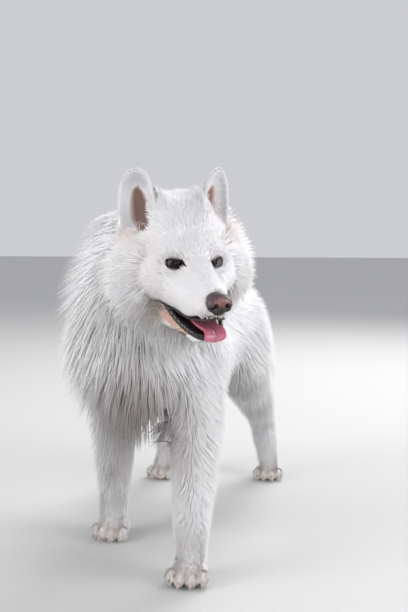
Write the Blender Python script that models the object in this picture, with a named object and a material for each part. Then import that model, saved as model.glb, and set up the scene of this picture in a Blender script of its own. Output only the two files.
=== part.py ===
"""A Samoyed, life size, standing square on its hind feet with its left forefoot a step ahead.

The dog faces -Y and its own left is +X. The neck bends to the left, the head is turned further that way and the
mouth is open, with the tongue over the lower lip. Every solid reaches out to the tips of the coat.
The body is one smooth whole, blocked out from named masses, and then parted by cuts half a millimetre wide.
"""

from math import cos, pi, radians, sin

import bmesh
import bpy
from mathutils import Matrix, Vector

# Fineness of the whole and of the solids made from it
VOXEL = 0.0046
SMOOTH_ROUNDS = 6
BODY_VOXEL = 0.0090
BODY_ROUNDS = 22
BODY_TRIANGLES = 2700
TAIL_TRIANGLES = 320
CUT = 0.0005
TOUCH = 0.0004

# The head hangs from the point midway between the eyes
EYES_MIDPOINT = Vector((0.140, -0.461, 0.578))
HEAD_YAW = radians(37)
HEAD_PITCH = radians(11)
HEAD_ROLL = radians(-2)
EYE_SPREAD = 0.0310
EYE_RADIUS = 0.0125
EYE_DEPTH = 0.0105
NOSE_TIP = Vector((0.001, -0.109, -0.041))
NOSE_WIDTH = 0.043
MOUTH_CORNER = Vector((0, 0.030, -0.059))
MOUTH_SLOPE = radians(18.5)
CHIN = Vector((0, -0.066, -0.1065))
EAR_BASE = Vector((0.0695, 0.074, 0.030))
EAR_TIP = Vector((0.0740, 0.088, 0.1430))
EAR_OUTLINE = ((0.0, 0.030), (0.15, 0.0370), (0.35, 0.0362), (0.54, 0.0322), (0.70, 0.0270), (0.82, 0.0215), (0.92, 0.0150), (1.0, 0.0060))
EAR_TURN = radians(24)

# Neck, collar and back
NECK_BASE = Vector((-0.018, -0.230, 0.488))
NECK_TOP = Vector((0.070, -0.358, 0.585))
COLLAR_CENTRE = Vector((0.000, -0.262, 0.488))
COLLAR_AXIS = Vector((0.18, -0.62, 0.74)).normalized()
COLLAR_LONG = 0.108
COLLAR_WIDE = 0.080
COLLAR_BAND = 0.016
COLLAR_THICK = 0.0032

# Where each paw stands: middle of the paw on the floor, and how far its toes turn out
PAWS = {
    "fore_left": (Vector((0.099, -0.343, 0)), radians(4)),
    "fore_right": (Vector((-0.112, -0.149, 0)), radians(-4)),
    "hind_left": (Vector((0.134, 0.362, 0)), radians(8)),
    "hind_right": (Vector((-0.134, 0.312, 0)), radians(-8)),
}
PAW_HALF_WIDTH = 0.034
TOE_LENGTH = 0.019
TOE_WIDTH = 0.0118
CLAW_LENGTH = 0.013
CLAW_RADIUS = 0.0030

# The tail's line: up from the rump, over the back and down on the right side
TAIL_LINE = (
    Vector((0.000, 0.300, 0.462)),
    Vector((0.004, 0.352, 0.535)),
    Vector((-0.004, 0.318, 0.612)),
    Vector((-0.030, 0.228, 0.640)),
    Vector((-0.066, 0.130, 0.620)),
    Vector((-0.104, 0.050, 0.566)),
    Vector((-0.138, -0.005, 0.505)),
)
TAIL_RADII = (0.046, 0.060, 0.078, 0.086, 0.082, 0.066, 0.034)

COATS = {
    "coat": ((0.86, 0.85, 0.84, 1), 0.8),
    "ear": ((0.84, 0.79, 0.76, 1), 0.8),
    "eye": ((0.03, 0.02, 0.018, 1), 0.1),
    "nose": ((0.16, 0.09, 0.09, 1), 0.4),
    "tongue": ((0.72, 0.30, 0.36, 1), 0.35),
    "claw": ((0.55, 0.45, 0.36, 1), 0.45),
    "collar": ((0.03, 0.03, 0.035, 1), 0.7),
}


def clear_scene():
    for stale in list(bpy.data.objects):
        bpy.data.objects.remove(stale, do_unlink=True)


def coat_material(name):
    """One Principled material for each finish."""
    found = bpy.data.materials.get(name)
    if found:
        return found
    colour, roughness = COATS[name]
    made = bpy.data.materials.new(name)
    made.use_nodes = True
    shader = made.node_tree.nodes["Principled BSDF"]
    shader.inputs["Base Color"].default_value = colour
    shader.inputs["Roughness"].default_value = roughness
    shader.inputs["Metallic"].default_value = 0
    return made


def head_frame():
    """From the head's own directions (left, back, up, from between the eyes) to the part's frame."""
    turn = Matrix.Rotation(HEAD_YAW, 4, "Z") @ Matrix.Rotation(HEAD_PITCH, 4, "X")
    return Matrix.Translation(EYES_MIDPOINT) @ turn @ Matrix.Rotation(HEAD_ROLL, 4, "Y")


HEAD = head_frame()
UPRIGHT = Matrix.Identity(4)


def shape_mesh(make, **sizes):
    """A primitive in a mesh of its own, as one bmesh that grows with each primitive becomes slow."""
    bm = bmesh.new()
    make(bm, **sizes)
    mesh = bpy.data.meshes.new("primitive")
    bm.to_mesh(mesh)
    bm.free()
    return mesh


def add_shape(bm, mesh, place):
    mesh.transform(place)
    bm.from_mesh(mesh)
    bpy.data.meshes.remove(mesh)


def mass(bm, at, radii, frame=UPRIGHT, tilt=0.0):
    """An ellipsoid, tilted nose-down about the frame's own X axis."""
    size = Matrix.Diagonal((*radii, 1))
    place = frame @ Matrix.Translation(at) @ Matrix.Rotation(tilt, 4, "X") @ size
    add_shape(bm, shape_mesh(bmesh.ops.create_uvsphere, u_segments=28, v_segments=18, radius=1), place)


def limb(bm, start, end, start_radius, end_radius, frame=UPRIGHT):
    """A tapered length with round ends."""
    start, end = frame @ Vector(start), frame @ Vector(end)
    along = end - start
    turn = along.to_track_quat("Z", "Y").to_matrix().to_4x4()
    sizes = {"segments": 28, "radius1": start_radius, "radius2": end_radius, "depth": along.length}
    cone = shape_mesh(bmesh.ops.create_cone, cap_ends=True, **sizes)
    add_shape(bm, cone, Matrix.Translation((start + end) / 2) @ turn)
    for point, radius in ((start, start_radius), (end, end_radius)):
        mass(bm, point, (radius,) * 3)


def mirrored(point, side):
    return Vector((point[0] * side, point[1], point[2]))


def add_trunk(bm):
    mass(bm, (-0.010, -0.100, 0.402), (0.156, 0.270, 0.146))  # ribcage
    mass(bm, (-0.012, -0.150, 0.452), (0.142, 0.200, 0.112))  # withers
    mass(bm, (0.000, 0.080, 0.424), (0.146, 0.290, 0.132))  # loin
    mass(bm, (-0.008, -0.050, 0.440), (0.140, 0.220, 0.124))  # back
    mass(bm, (0.000, 0.235, 0.416), (0.140, 0.165, 0.138))  # rump
    mass(bm, (-0.030, -0.235, 0.372), (0.160, 0.125, 0.158))  # forechest mane
    mass(bm, (-0.012, -0.262, 0.290), (0.086, 0.076, 0.078))  # fringe between the forelegs
    mass(bm, (-0.040, -0.185, 0.390), (0.166, 0.130, 0.130))  # right shoulder's mane
    mass(bm, (0.030, -0.200, 0.390), (0.122, 0.130, 0.120))  # left shoulder's mane
    limb(bm, (0, 0.290, 0.440), (0.002, 0.335, 0.505), 0.066, 0.046)  # root of the tail
    for side, hip, knee, back in ((1, 0.235, 0.215, 0.318), (-1, 0.215, 0.175, 0.272)):
        mass(bm, (0.078 * side, hip, 0.390), (0.078, 0.128, 0.128))  # haunch
        limb(bm, (0.082 * side, hip, 0.350), (0.097 * side, knee, 0.290), 0.086, 0.066)  # thigh
        limb(bm, (0.094 * side, back, 0.350), (0.108 * side, back + 0.016, 0.262), 0.064, 0.050)  # trousers


def add_neck(bm):
    limb(bm, NECK_BASE, NECK_TOP, 0.170, 0.124)
    limb(bm, (-0.012, -0.150, 0.475), (0.030, -0.270, 0.560), 0.120, 0.126)  # mane behind the neck
    mass(bm, (0.035, -0.330, 0.500), (0.135, 0.100, 0.110))  # ruff under the throat
    mass(bm, (-0.033, -0.290, 0.590), (0.095, 0.088, 0.082))  # mane behind the right ear


def add_head(bm):
    mass(bm, (0, 0.088, 0.022), (0.092, 0.082, 0.084), HEAD)  # skull
    mass(bm, (0, 0.036, 0.010), (0.064, 0.046, 0.042), HEAD)  # brow
    mass(bm, (0, 0.125, 0.004), (0.110, 0.070, 0.104), HEAD)  # back of the head
    # The ruff stands out further on the side that the head is turned to, where the mane pushes it forwards
    mass(bm, (0.092, 0.086, -0.036), (0.064, 0.062, 0.090), HEAD)  # left cheek ruff
    mass(bm, (-0.084, 0.084, -0.036), (0.064, 0.062, 0.084), HEAD)  # right cheek ruff
    mass(bm, (0.074, 0.102, 0.027), (0.061, 0.054, 0.059), HEAD)  # fluff behind the left ear
    mass(bm, (-0.064, 0.124, 0.018), (0.058, 0.050, 0.058), HEAD)  # fluff behind the right ear
    for side in (-1, 1):
        mass(bm, mirrored((0.047, 0.038, -0.026), side), (0.040, 0.048, 0.042), HEAD)  # cheekbone
        muzzle = mirrored((0.025, 0.008, -0.040), side), mirrored((0.0115, -0.076, -0.0515), side)
        limb(bm, *muzzle, 0.033, 0.0170, HEAD)  # side of the muzzle
        mass(bm, mirrored((0.0235, -0.030, -0.058), side), (0.0135, 0.044, 0.0200), HEAD)  # upper lip
    limb(bm, (0, 0.014, -0.014), (0, -0.080, -0.0375), 0.036, 0.0170, HEAD)  # bridge of the muzzle
    mass(bm, (0, -0.084, -0.052), (0.021, 0.016, 0.0145), HEAD)  # front of the upper lip


def add_jaw(bm):
    for side in (-1, 1):
        limb(bm, mirrored((0.029, 0.040, -0.087), side), CHIN + mirrored((0.009, 0.004, 0), side), 0.0255, 0.0108, HEAD)
    limb(bm, (0, 0.050, -0.094), CHIN + Vector((0, 0.006, -0.001)), 0.031, 0.0112, HEAD)
    mass(bm, (0, 0.090, -0.098), (0.092, 0.070, 0.062), HEAD)  # throat


def mouth_cavity():
    """The room between the jaws, wide at the front and closing towards the corners of the mouth."""
    bm = bmesh.new()
    mass(bm, (0, -0.046, -0.0855), (0.0235, 0.052, 0.0100), HEAD, tilt=radians(9))
    mass(bm, (0, -0.010, -0.0760), (0.0240, 0.044, 0.0070), HEAD, tilt=radians(18))
    for side in (-1, 1):  # slits between the lips, out to each side
        mass(bm, mirrored((0.034, -0.030, -0.0815), side), (0.020, 0.058, 0.0022), HEAD, tilt=radians(16))
    return fused(bm, 520, voxel=0.0014, rounds=2)


def add_paw(bm, at, turn, wide=1.0):
    frame = Matrix.Translation(at) @ Matrix.Rotation(turn, 4, "Z")
    mass(bm, (0, 0.004, 0.022), (PAW_HALF_WIDTH * wide, 0.040, 0.0275), frame)
    for across, ahead, up in toe_places():
        toe = (across * wide, ahead, up)
        mass(bm, toe, (TOE_WIDTH, TOE_LENGTH, 0.0178), frame, tilt=radians(18))


def toe_places():
    """Middle of each toe in the paw's own directions, from its left toe to its right."""
    return [(0.0305, -0.018, 0.0160), (0.0108, -0.0300, 0.0175), (-0.0108, -0.0300, 0.0175), (-0.0305, -0.018, 0.0160)]


def add_foreleg(bm, name, side, elbow, shoulder):
    at, turn = PAWS[name]
    add_paw(bm, at, turn)
    pastern = at + Vector((0.004 * side, 0.012, 0.038))
    wrist = at + Vector((0.003 * side, 0.010, 0.094))
    limb(bm, pastern, wrist, 0.0305, 0.0325)
    limb(bm, wrist, elbow, 0.0330, 0.0520)
    limb(bm, elbow, shoulder, 0.0540, 0.0860)
    feather = Vector((0.008 * side, 0.034, 0))
    limb(bm, wrist + feather * 0.6, elbow + feather, 0.0220, 0.0470)  # hair down the back of the leg


def add_hind_leg(bm, name, side, knee):
    at, turn = PAWS[name]
    add_paw(bm, at, turn, wide=0.90)
    hock = at + Vector((-0.020 * side, 0.036, 0.148))
    limb(bm, at + Vector((0, 0.010, 0.036)), hock, 0.0300, 0.0345)
    limb(bm, hock, knee, 0.0345, 0.0640)
    limb(bm, (0.106 * side, at.y - 0.036, 0.262), hock + Vector((0, 0.000, 0.020)), 0.048, 0.0290)


def evaluated(mesh, *modifiers):
    """The mesh with these modifiers, each a type and its settings, worked out."""
    obj = bpy.data.objects.new("working", mesh)
    bpy.context.scene.collection.objects.link(obj)
    for kind, settings in modifiers:
        modifier = obj.modifiers.new(kind.lower(), kind)
        for key, value in settings.items():
            setattr(modifier, key, value)
    bpy.context.view_layer.update()
    made = bpy.data.meshes.new_from_object(obj.evaluated_get(bpy.context.evaluated_depsgraph_get()))
    bpy.data.objects.remove(obj, do_unlink=True)
    return made


def to_mesh(bm, name="working"):
    mesh = bpy.data.meshes.new(name)
    bmesh.ops.recalc_face_normals(bm, faces=bm.faces)
    bm.to_mesh(mesh)
    bm.free()
    return mesh


def fused(bm, triangles=None, voxel=VOXEL, rounds=SMOOTH_ROUNDS):
    """Overlapping masses made one smooth surface of about that many triangles."""
    smooth = evaluated(
        to_mesh(bm),
        ("REMESH", {"mode": "VOXEL", "voxel_size": voxel}),
        ("SMOOTH", {"factor": 0.5, "iterations": rounds}),
        ("TRIANGULATE", {}),
    )
    if triangles is None:
        return smooth
    ratio = min(1.0, triangles / len(smooth.polygons))
    return evaluated(smooth, ("DECIMATE", {"ratio": ratio}), ("TRIANGULATE", {}))


def cut(mesh, tool, operation="DIFFERENCE"):
    """One exact Boolean step on plain meshes."""
    helper = bpy.data.objects.new("tool", tool)
    bpy.context.scene.collection.objects.link(helper)
    settings = {"operation": operation, "object": helper, "solver": "EXACT"}
    made = evaluated(mesh, ("BOOLEAN", settings), ("TRIANGULATE", {}))
    bpy.data.objects.remove(helper, do_unlink=True)
    return made


def grown(mesh, by=TOUCH):
    """The same surface moved outwards, to keep a neighbour off it."""
    return evaluated(mesh, ("DISPLACE", {"strength": by, "mid_level": 0.0}))


def block(low, high, frame=UPRIGHT, grow=0.0, top_inner=None):
    """A box from low to high. With top_inner its top slopes: that height at the side nearer x = 0."""
    bm = bmesh.new()
    corners = []
    inner_high = abs(high[0]) < abs(low[0])
    for x, high_side in ((low[0] - grow, False), (high[0] + grow, True)):
        inner = high_side == inner_high
        top = high[2] if top_inner is None or not inner else top_inner
        for y in (low[1] - grow, high[1] + grow):
            for z in (low[2] - grow, top + grow):
                corners.append(bm.verts.new(frame @ Vector((x, y, z))))
    bmesh.ops.convex_hull(bm, input=corners)
    return to_mesh(bm)


def plane_frame(point, axis):
    """A frame whose Z axis runs along axis, with its origin at point."""
    return Matrix.Translation(point) @ axis.to_track_quat("Z", "Y").to_matrix().to_4x4()


def largest_body(mesh):
    """The mesh without the crumbs that a cut can leave."""
    bm = bmesh.new()
    bm.from_mesh(mesh)
    left, bodies = set(bm.verts), []
    while left:
        seen, edge = set(), [left.pop()]
        while edge:
            vertex = edge.pop()
            seen.add(vertex)
            linked = {e.other_vert(vertex) for e in vertex.link_edges} & left
            left -= linked
            edge.extend(linked)
        bodies.append(seen)
    bodies.sort(key=len, reverse=True)
    crumbs = [v for body in bodies[1:] for v in body]
    bmesh.ops.delete(bm, geom=crumbs, context="VERTS")
    bm.to_mesh(mesh)
    bm.free()
    return mesh


def node(name, mesh, material):
    """A finished solid in the scene, smooth but for its cut edges."""
    mesh.name = name
    mesh.materials.clear()
    mesh.materials.append(coat_material(material))
    mesh.shade_smooth()
    mesh.set_sharp_from_angle(angle=radians(50))
    obj = bpy.data.objects.new(name, mesh)
    bpy.context.scene.collection.objects.link(obj)
    return obj


def whole_body():
    """Trunk and neck are fused first and well smoothed, and the crisper head and legs join them after."""
    soft = bmesh.new()
    add_trunk(soft)
    add_neck(soft)
    bm = bmesh.new()
    bm.from_mesh(fused(soft, voxel=BODY_VOXEL, rounds=BODY_ROUNDS))
    add_head(bm)
    add_jaw(bm)
    add_foreleg(bm, "fore_left", 1, Vector((0.093, -0.262, 0.262)), Vector((0.062, -0.205, 0.385)))
    add_foreleg(bm, "fore_right", -1, Vector((-0.116, -0.140, 0.262)), Vector((-0.088, -0.165, 0.380)))
    add_hind_leg(bm, "hind_left", 1, Vector((0.098, 0.222, 0.290)))
    add_hind_leg(bm, "hind_right", -1, Vector((-0.098, 0.180, 0.290)))
    body = fused(bm, BODY_TRIANGLES)
    return cut(body, block((-1, -1, -0.2), (1, 1, 0.0)))


def part_off(body, low, high, frame=UPRIGHT, top_inner=None):
    """(what lies in the block, what is left), half a millimetre apart."""
    piece = cut(body, block(low, high, frame, 0.0, top_inner), "INTERSECT")
    rest = cut(body, block(low, high, frame, CUT, top_inner))
    return largest_body(piece), largest_body(rest)


def split_body(body):
    """Parts the whole at the throat, the neck's base, the mouth and the tops of the legs."""
    pieces = {}
    head_plane = HEAD @ Matrix.Translation((0, 0.110, -0.030)) @ Matrix.Rotation(radians(55), 4, "X")
    far = 0.6
    head, body = part_off(body, (-far, -far, 0), (far, far, far), head_plane)
    collar_plane = plane_frame(COLLAR_CENTRE, COLLAR_AXIS)
    pieces["neck"], body = part_off(body, (-far, -far, 0), (far, far, far), collar_plane)
    for name, low, high, top_inner in (
        ("foreleg_left", (0.030, -0.45, -0.1), (0.30, -0.10, 0.300), 0.252),
        ("foreleg_right", (-0.30, -0.45, -0.1), (-0.030, 0.00, 0.300), 0.252),
        ("hind_leg_left", (0.012, 0.09, -0.1), (0.30, 0.60, 0.400), 0.262),
        ("hind_leg_right", (-0.30, 0.05, -0.1), (-0.012, 0.60, 0.400), 0.262),
    ):
        pieces[name], body = part_off(body, low, high, top_inner=top_inner)
    head = cut(head, mouth_cavity())
    mouth_plane = HEAD @ Matrix.Translation(MOUTH_CORNER) @ Matrix.Rotation(MOUTH_SLOPE, 4, "X")
    pieces["jaw"], head = part_off(head, (-0.062, -far, -far), (0.062, 0.006, 0), mouth_plane)
    pieces["head"] = head
    pieces["trunk"] = body
    return pieces


def collar_ring(thick, band, steps=36):
    """A flat band bent into an oval loop round the neck."""
    frame = plane_frame(COLLAR_CENTRE, COLLAR_AXIS)
    bm = bmesh.new()
    corners = ((-thick / 2, -band / 2), (thick / 2, -band / 2), (thick / 2, band / 2), (-thick / 2, band / 2))
    rings = []
    for step in range(steps):
        angle = 2 * pi * step / steps
        ring = []
        for out, up in corners:
            point = Vector(((COLLAR_WIDE + out) * cos(angle), (COLLAR_LONG + out) * sin(angle), up))
            ring.append(bm.verts.new(frame @ point))
        rings.append(ring)
    for step in range(steps):
        here, following = rings[step], rings[(step + 1) % steps]
        for k in range(4):
            bm.faces.new((here[k], here[(k + 1) % 4], following[(k + 1) % 4], following[k]))
    return to_mesh(bm)


def lofted(rings):
    """A closed skin over rings of equal count, capped at both ends."""
    bm = bmesh.new()
    rows = [[bm.verts.new(point) for point in ring] for ring in rings]
    count = len(rows[0])
    for low, high in zip(rows, rows[1:]):
        for k in range(count):
            bm.faces.new((low[k], low[(k + 1) % count], high[(k + 1) % count], high[k]))
    bm.faces.new(rows[0][::-1])
    bm.faces.new(rows[-1])
    return to_mesh(bm)


def ear_half_width(t):
    for (t0, w0), (t1, w1) in zip(EAR_OUTLINE, EAR_OUTLINE[1:]):
        if t <= t1:
            return w0 + (w1 - w0) * (t - t0) / (t1 - t0)
    return EAR_OUTLINE[-1][1]


def ear(side):
    """A pricked ear: a leaf with a round tip, cupped forwards and outwards, thick with short fur."""
    levels, around = 8, 7
    base, tip = mirrored(EAR_BASE, side), mirrored(EAR_TIP, side)
    rise = tip - base
    turn = Matrix.Rotation(EAR_TURN * side, 4, "Z")
    rings = []
    for level in range(levels):
        t = 1 - (1 - level / (levels - 1)) ** 1.25
        half = ear_half_width(t)
        depth = half * (0.80 - 0.20 * t)
        wall = min(0.0085, half * 0.55)
        centre = base + rise * t + Vector((0, 0.004 * sin(pi * t), 0))
        ring = []
        for k in range(around + 1):  # back of the ear
            angle = pi * k / around
            ring.append(Vector((half * cos(angle), depth * sin(angle), 0)))
        for k in range(1, around):  # the cupped front
            angle = pi * (1 - k / around)
            ring.append(Vector(((half - wall) * cos(angle), max(depth - 1.3 * wall, 0.0004) * sin(angle) - 0.0015, 0)))
        rings.append([HEAD @ (centre + turn @ point) for point in ring])
    return evaluated(lofted(rings), ("TRIANGULATE", {}))


def tongue():
    """A soft blade that lies along the jaw, over the lip and down."""
    stations = (
        (Vector((0, 0.016, -0.0790)), 0.0165, 0.0050),
        (Vector((0, -0.015, -0.0860)), 0.0180, 0.0055),
        (Vector((0, -0.045, -0.0915)), 0.0185, 0.0050),
        (Vector((-0.0005, -0.065, -0.0925)), 0.0192, 0.0046),
        (Vector((-0.0015, -0.078, -0.0925)), 0.0192, 0.0042),
        (Vector((-0.002, -0.0870, -0.0955)), 0.0184, 0.0038),
        (Vector((-0.0025, -0.0905, -0.1000)), 0.0165, 0.0034),
        (Vector((-0.003, -0.0912, -0.1040)), 0.0120, 0.0028),
        (Vector((-0.003, -0.0910, -0.1066)), 0.0060, 0.0020),
    )
    around = 10
    rings = []
    for k, (at, half, thick) in enumerate(stations):
        before = stations[max(0, k - 1)][0]
        after = stations[min(len(stations) - 1, k + 1)][0]
        across = Vector((1, 0, 0))
        up = across.cross(before - after).normalized()
        ring = []
        for step in range(around):
            angle = 2 * pi * step / around
            groove = -0.0012 * max(0.0, 1 - abs(cos(angle)) * 2.2) * (1 if sin(angle) > 0 else 0)
            ring.append(HEAD @ (at + across * half * cos(angle) + up * (thick * sin(angle) + groove)))
        rings.append(ring)
    return lofted(rings)


def nose():
    """The nose leather, with its two nostrils and the groove between them pressed in."""
    bm = bmesh.new()
    at = NOSE_TIP + Vector((0, 0.014, 0.000))
    mass(bm, at, (NOSE_WIDTH / 2, 0.0150, 0.0148), HEAD, tilt=radians(-12))
    mass(bm, at + Vector((0, 0.004, 0.006)), (NOSE_WIDTH / 2 * 0.9, 0.0145, 0.0110), HEAD)
    mass(bm, at + Vector((0, -0.001, -0.011)), (0.0085, 0.0120, 0.0110), HEAD)
    leather = fused(bm, 240, voxel=0.0016, rounds=5)
    for side in (-1, 1):
        hole = bmesh.new()
        mass(hole, at + mirrored((0.0098, -0.0125, -0.0030), side), (0.0036, 0.0060, 0.0030), HEAD)
        leather = cut(leather, evaluated(to_mesh(hole), ("DECIMATE", {"ratio": 0.07})))
    return leather


def eyeball(side, radius=EYE_RADIUS, segments=14):
    bm = bmesh.new()
    at = HEAD @ Vector((EYE_SPREAD * side, EYE_DEPTH, 0))
    bmesh.ops.create_uvsphere(
        bm, u_segments=segments, v_segments=segments // 2 + 2, radius=radius, matrix=Matrix.Translation(at)
    )
    return to_mesh(bm)


def eye_socket(side):
    """What the head gives up for the eye: the ball with a little room, and an almond way out to the front."""
    bm = bmesh.new()
    aim = Matrix.Rotation(radians(22) * side, 4, "Z")
    frame = HEAD @ Matrix.Translation((EYE_SPREAD * side, EYE_DEPTH, 0)) @ aim
    mass(bm, (0, -0.014, 0), (0.0125, 0.0180, 0.0085), frame)
    mass(bm, (0, 0, 0), (EYE_RADIUS + 0.0006,) * 3, frame)
    return fused(bm, 200, voxel=0.0016, rounds=2)


def tail():
    """The plume, a chain of swelling lengths along the tail's line."""
    bm = bmesh.new()
    stations = list(zip(TAIL_LINE, TAIL_RADII))
    for (a, ra), (b, rb) in zip(stations, stations[1:]):
        limb(bm, a, b, ra, rb)
    return fused(bm, TAIL_TRIANGLES, voxel=0.009, rounds=24)


def claw(name, toe):
    """A short curved horn at the front of one toe."""
    at, turn = PAWS[name]
    wide = 0.90 if name.startswith("hind") else 1.0
    across, ahead, up = toe_places()[toe]
    frame = Matrix.Translation(at) @ Matrix.Rotation(turn, 4, "Z")
    centre = Vector((across * wide, ahead - TOE_LENGTH + 0.0045, up - 0.0030))
    steps, around = 5, 6
    rings = []
    for step in range(steps):
        t = step / (steps - 1)
        bend = radians(12 + 42 * t)
        if step:
            centre = centre + Vector((0, -cos(bend), -sin(bend))) * CLAW_LENGTH / (steps - 1)
        radius = CLAW_RADIUS * (1 - 0.84 * t**1.5)
        ring = []
        for k in range(around):
            angle = 2 * pi * k / around
            rise = sin(angle) * radius
            ring.append(frame @ (centre + Vector((cos(angle) * radius * 0.8, -rise * sin(bend), rise * cos(bend)))))
        rings.append(ring)
    return lofted(rings)


def build():
    clear_scene()
    pieces = split_body(whole_body())

    groove = collar_ring(COLLAR_THICK + 0.0012, COLLAR_BAND + 0.0012)
    pieces["neck"] = cut(pieces["neck"], groove)
    pieces["trunk"] = cut(pieces["trunk"], groove)
    node("collar", collar_ring(COLLAR_THICK, COLLAR_BAND), "collar")

    leather = nose()
    node("nose", leather, "nose")
    pieces["head"] = cut(pieces["head"], grown(leather))
    for side, word in ((1, "left"), (-1, "right")):
        pieces["head"] = cut(pieces["head"], eye_socket(side))
        node(f"eye_{word}", eyeball(side), "eye")
    pieces["head"] = largest_body(pieces["head"])
    solid_head = grown(pieces["head"])
    for side, word in ((1, "left"), (-1, "right")):
        node(f"ear_{word}", largest_body(cut(ear(side), solid_head)), "ear")
    blade = cut(cut(tongue(), grown(pieces["jaw"])), solid_head)
    node("tongue", largest_body(blade), "tongue")

    node("tail", largest_body(cut(tail(), grown(pieces["trunk"]))), "coat")
    for name in PAWS:
        end, word = name.split("_")
        leg = {"fore": "foreleg", "hind": "hind_leg"}[end] + "_" + word
        for toe in range(4):
            horn = claw(name, toe)
            pieces[leg] = largest_body(cut(pieces[leg], grown(horn)))
            node(f"claw_{name}_{toe + 1}", horn, "claw")
    for name, mesh in pieces.items():
        node(name, mesh, "coat")
    centre_on_origin()


def centre_on_origin():
    """Moves every node so that the origin is on the floor under the middle of the outline."""
    meshes = [obj.data for obj in bpy.context.scene.objects]
    points = [v.co for mesh in meshes for v in mesh.vertices]
    low = Vector([min(p[k] for p in points) for k in range(3)])
    high = Vector([max(p[k] for p in points) for k in range(3)])
    shift = Vector((-(low.x + high.x) / 2, -(low.y + high.y) / 2, -low.z))
    for mesh in meshes:
        mesh.transform(Matrix.Translation(shift))
    print("moved by", [round(k, 6) for k in shift], "to stand on the origin")


build()
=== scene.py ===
# %% [markdown]
# # A Samoyed in solid fur
# A long-coated white dog stands with its head turned and its mouth open. The frame holds its outline, out to the tips
# of the coat. Here that outline gets a bare body inside it, a face, and a coat of many small solid locks, each of
# which starts on the skin and ends on the outline.

from math import atan, cos, pi, radians, sin

import bmesh
import bpy
import numpy as np
from mathutils import Matrix, Vector
from mathutils.bvhtree import BVHTree
from mathutils.kdtree import KDTree


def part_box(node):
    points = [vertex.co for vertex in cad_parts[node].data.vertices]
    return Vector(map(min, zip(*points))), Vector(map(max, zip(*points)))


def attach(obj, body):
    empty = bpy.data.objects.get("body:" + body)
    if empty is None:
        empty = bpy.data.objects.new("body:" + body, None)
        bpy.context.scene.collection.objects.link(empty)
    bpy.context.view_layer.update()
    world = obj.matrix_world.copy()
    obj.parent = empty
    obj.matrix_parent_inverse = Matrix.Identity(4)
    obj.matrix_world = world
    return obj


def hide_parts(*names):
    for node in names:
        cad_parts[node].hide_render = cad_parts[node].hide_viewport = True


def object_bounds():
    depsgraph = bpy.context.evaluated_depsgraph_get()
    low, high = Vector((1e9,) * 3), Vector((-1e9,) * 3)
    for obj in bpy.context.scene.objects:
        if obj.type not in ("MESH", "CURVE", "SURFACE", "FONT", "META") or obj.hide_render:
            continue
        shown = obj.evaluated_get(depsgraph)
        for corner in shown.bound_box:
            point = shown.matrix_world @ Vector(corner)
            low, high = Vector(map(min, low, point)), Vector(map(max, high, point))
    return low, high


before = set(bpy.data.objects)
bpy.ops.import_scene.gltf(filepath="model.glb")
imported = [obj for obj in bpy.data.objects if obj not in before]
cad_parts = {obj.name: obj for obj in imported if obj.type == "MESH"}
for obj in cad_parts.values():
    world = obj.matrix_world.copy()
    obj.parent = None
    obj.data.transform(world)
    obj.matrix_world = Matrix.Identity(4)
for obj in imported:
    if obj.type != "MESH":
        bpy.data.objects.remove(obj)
frame_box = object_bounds()
scene = bpy.context.scene
print("frame size", [round(b - a, 4) for a, b in zip(*frame_box)])

# %% [markdown]
# ## Two frames of reference
# A turned head is hard to model in the room's directions. So the head gets a frame of its own, found from the middle
# of the two eyes: x to the dog's left, y to the back of the skull, z to the crown. The body keeps the room's
# directions, with its origin tied to the same eyes.

# %% Frames of the head and the body
EYES_FROM_BODY = Vector((0.140, -0.461, 0.578))
EYE_DEPTH = 0.0105
HEAD_TURN = (
    Matrix.Rotation(radians(37), 4, "Z")
    @ Matrix.Rotation(radians(11), 4, "X")
    @ Matrix.Rotation(radians(-2), 4, "Y")
)


def box_middle(node):
    low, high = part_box(node)
    return (low + high) / 2


EYES = {side: box_middle(f"eye_{word}") for side, word in ((1, "left"), (-1, "right"))}
between_eyes = (EYES[1] + EYES[-1]) / 2 - HEAD_TURN.to_3x3() @ Vector((0, EYE_DEPTH, 0))
HEAD = Matrix.Translation(between_eyes) @ HEAD_TURN
BODY = Matrix.Translation(between_eyes - EYES_FROM_BODY)
EYE_SPREAD = (HEAD.inverted() @ EYES[1]).x
EYE_RADIUS = (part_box("eye_left")[1].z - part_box("eye_left")[0].z) / 2
print("eye radius", round(EYE_RADIUS, 4), "spread", round(EYE_SPREAD, 4))


def mirrored(point, side):
    return Vector((point[0] * side, point[1], point[2]))


def local_points(points, frame_of):
    """An array of points, written in another frame's directions."""
    back = np.array(frame_of.inverted())
    return points @ back[:3, :3].T + back[:3, 3]


def world_points(points, frame_of):
    out = np.array(frame_of)
    return np.asarray(points, float) @ out[:3, :3].T + out[:3, 3]


# %% [markdown]
# ## Small tools
# Operators act on what is selected, so each step first says what that is.

# %% Selecting, applying and reading meshes
def select_only(*objects):
    bpy.ops.object.select_all(action="DESELECT")
    for obj in objects:
        obj.select_set(True)
    bpy.context.view_layer.objects.active = objects[0]


def apply_modifier(obj, kind, **settings):
    select_only(obj)
    modifier = obj.modifiers.new(kind.title(), kind)
    for key, value in settings.items():
        setattr(modifier, key, value)
    bpy.ops.object.modifier_apply(modifier=modifier.name)
    return obj


def joined(parts, name):
    """The parts as one object, standing on the origin unturned."""
    select_only(*parts)
    if len(parts) > 1:
        bpy.ops.object.join()
    obj = bpy.context.object
    bpy.ops.object.transform_apply(location=True, rotation=True, scale=True)
    obj.name = obj.data.name = name
    return obj


def vertex_array(mesh):
    flat = np.empty(len(mesh.vertices) * 3)
    mesh.vertices.foreach_get("co", flat)
    return flat.reshape(-1, 3)


def set_vertices(mesh, points):
    mesh.vertices.foreach_set("co", np.asarray(points, float).ravel())
    mesh.update()


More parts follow.
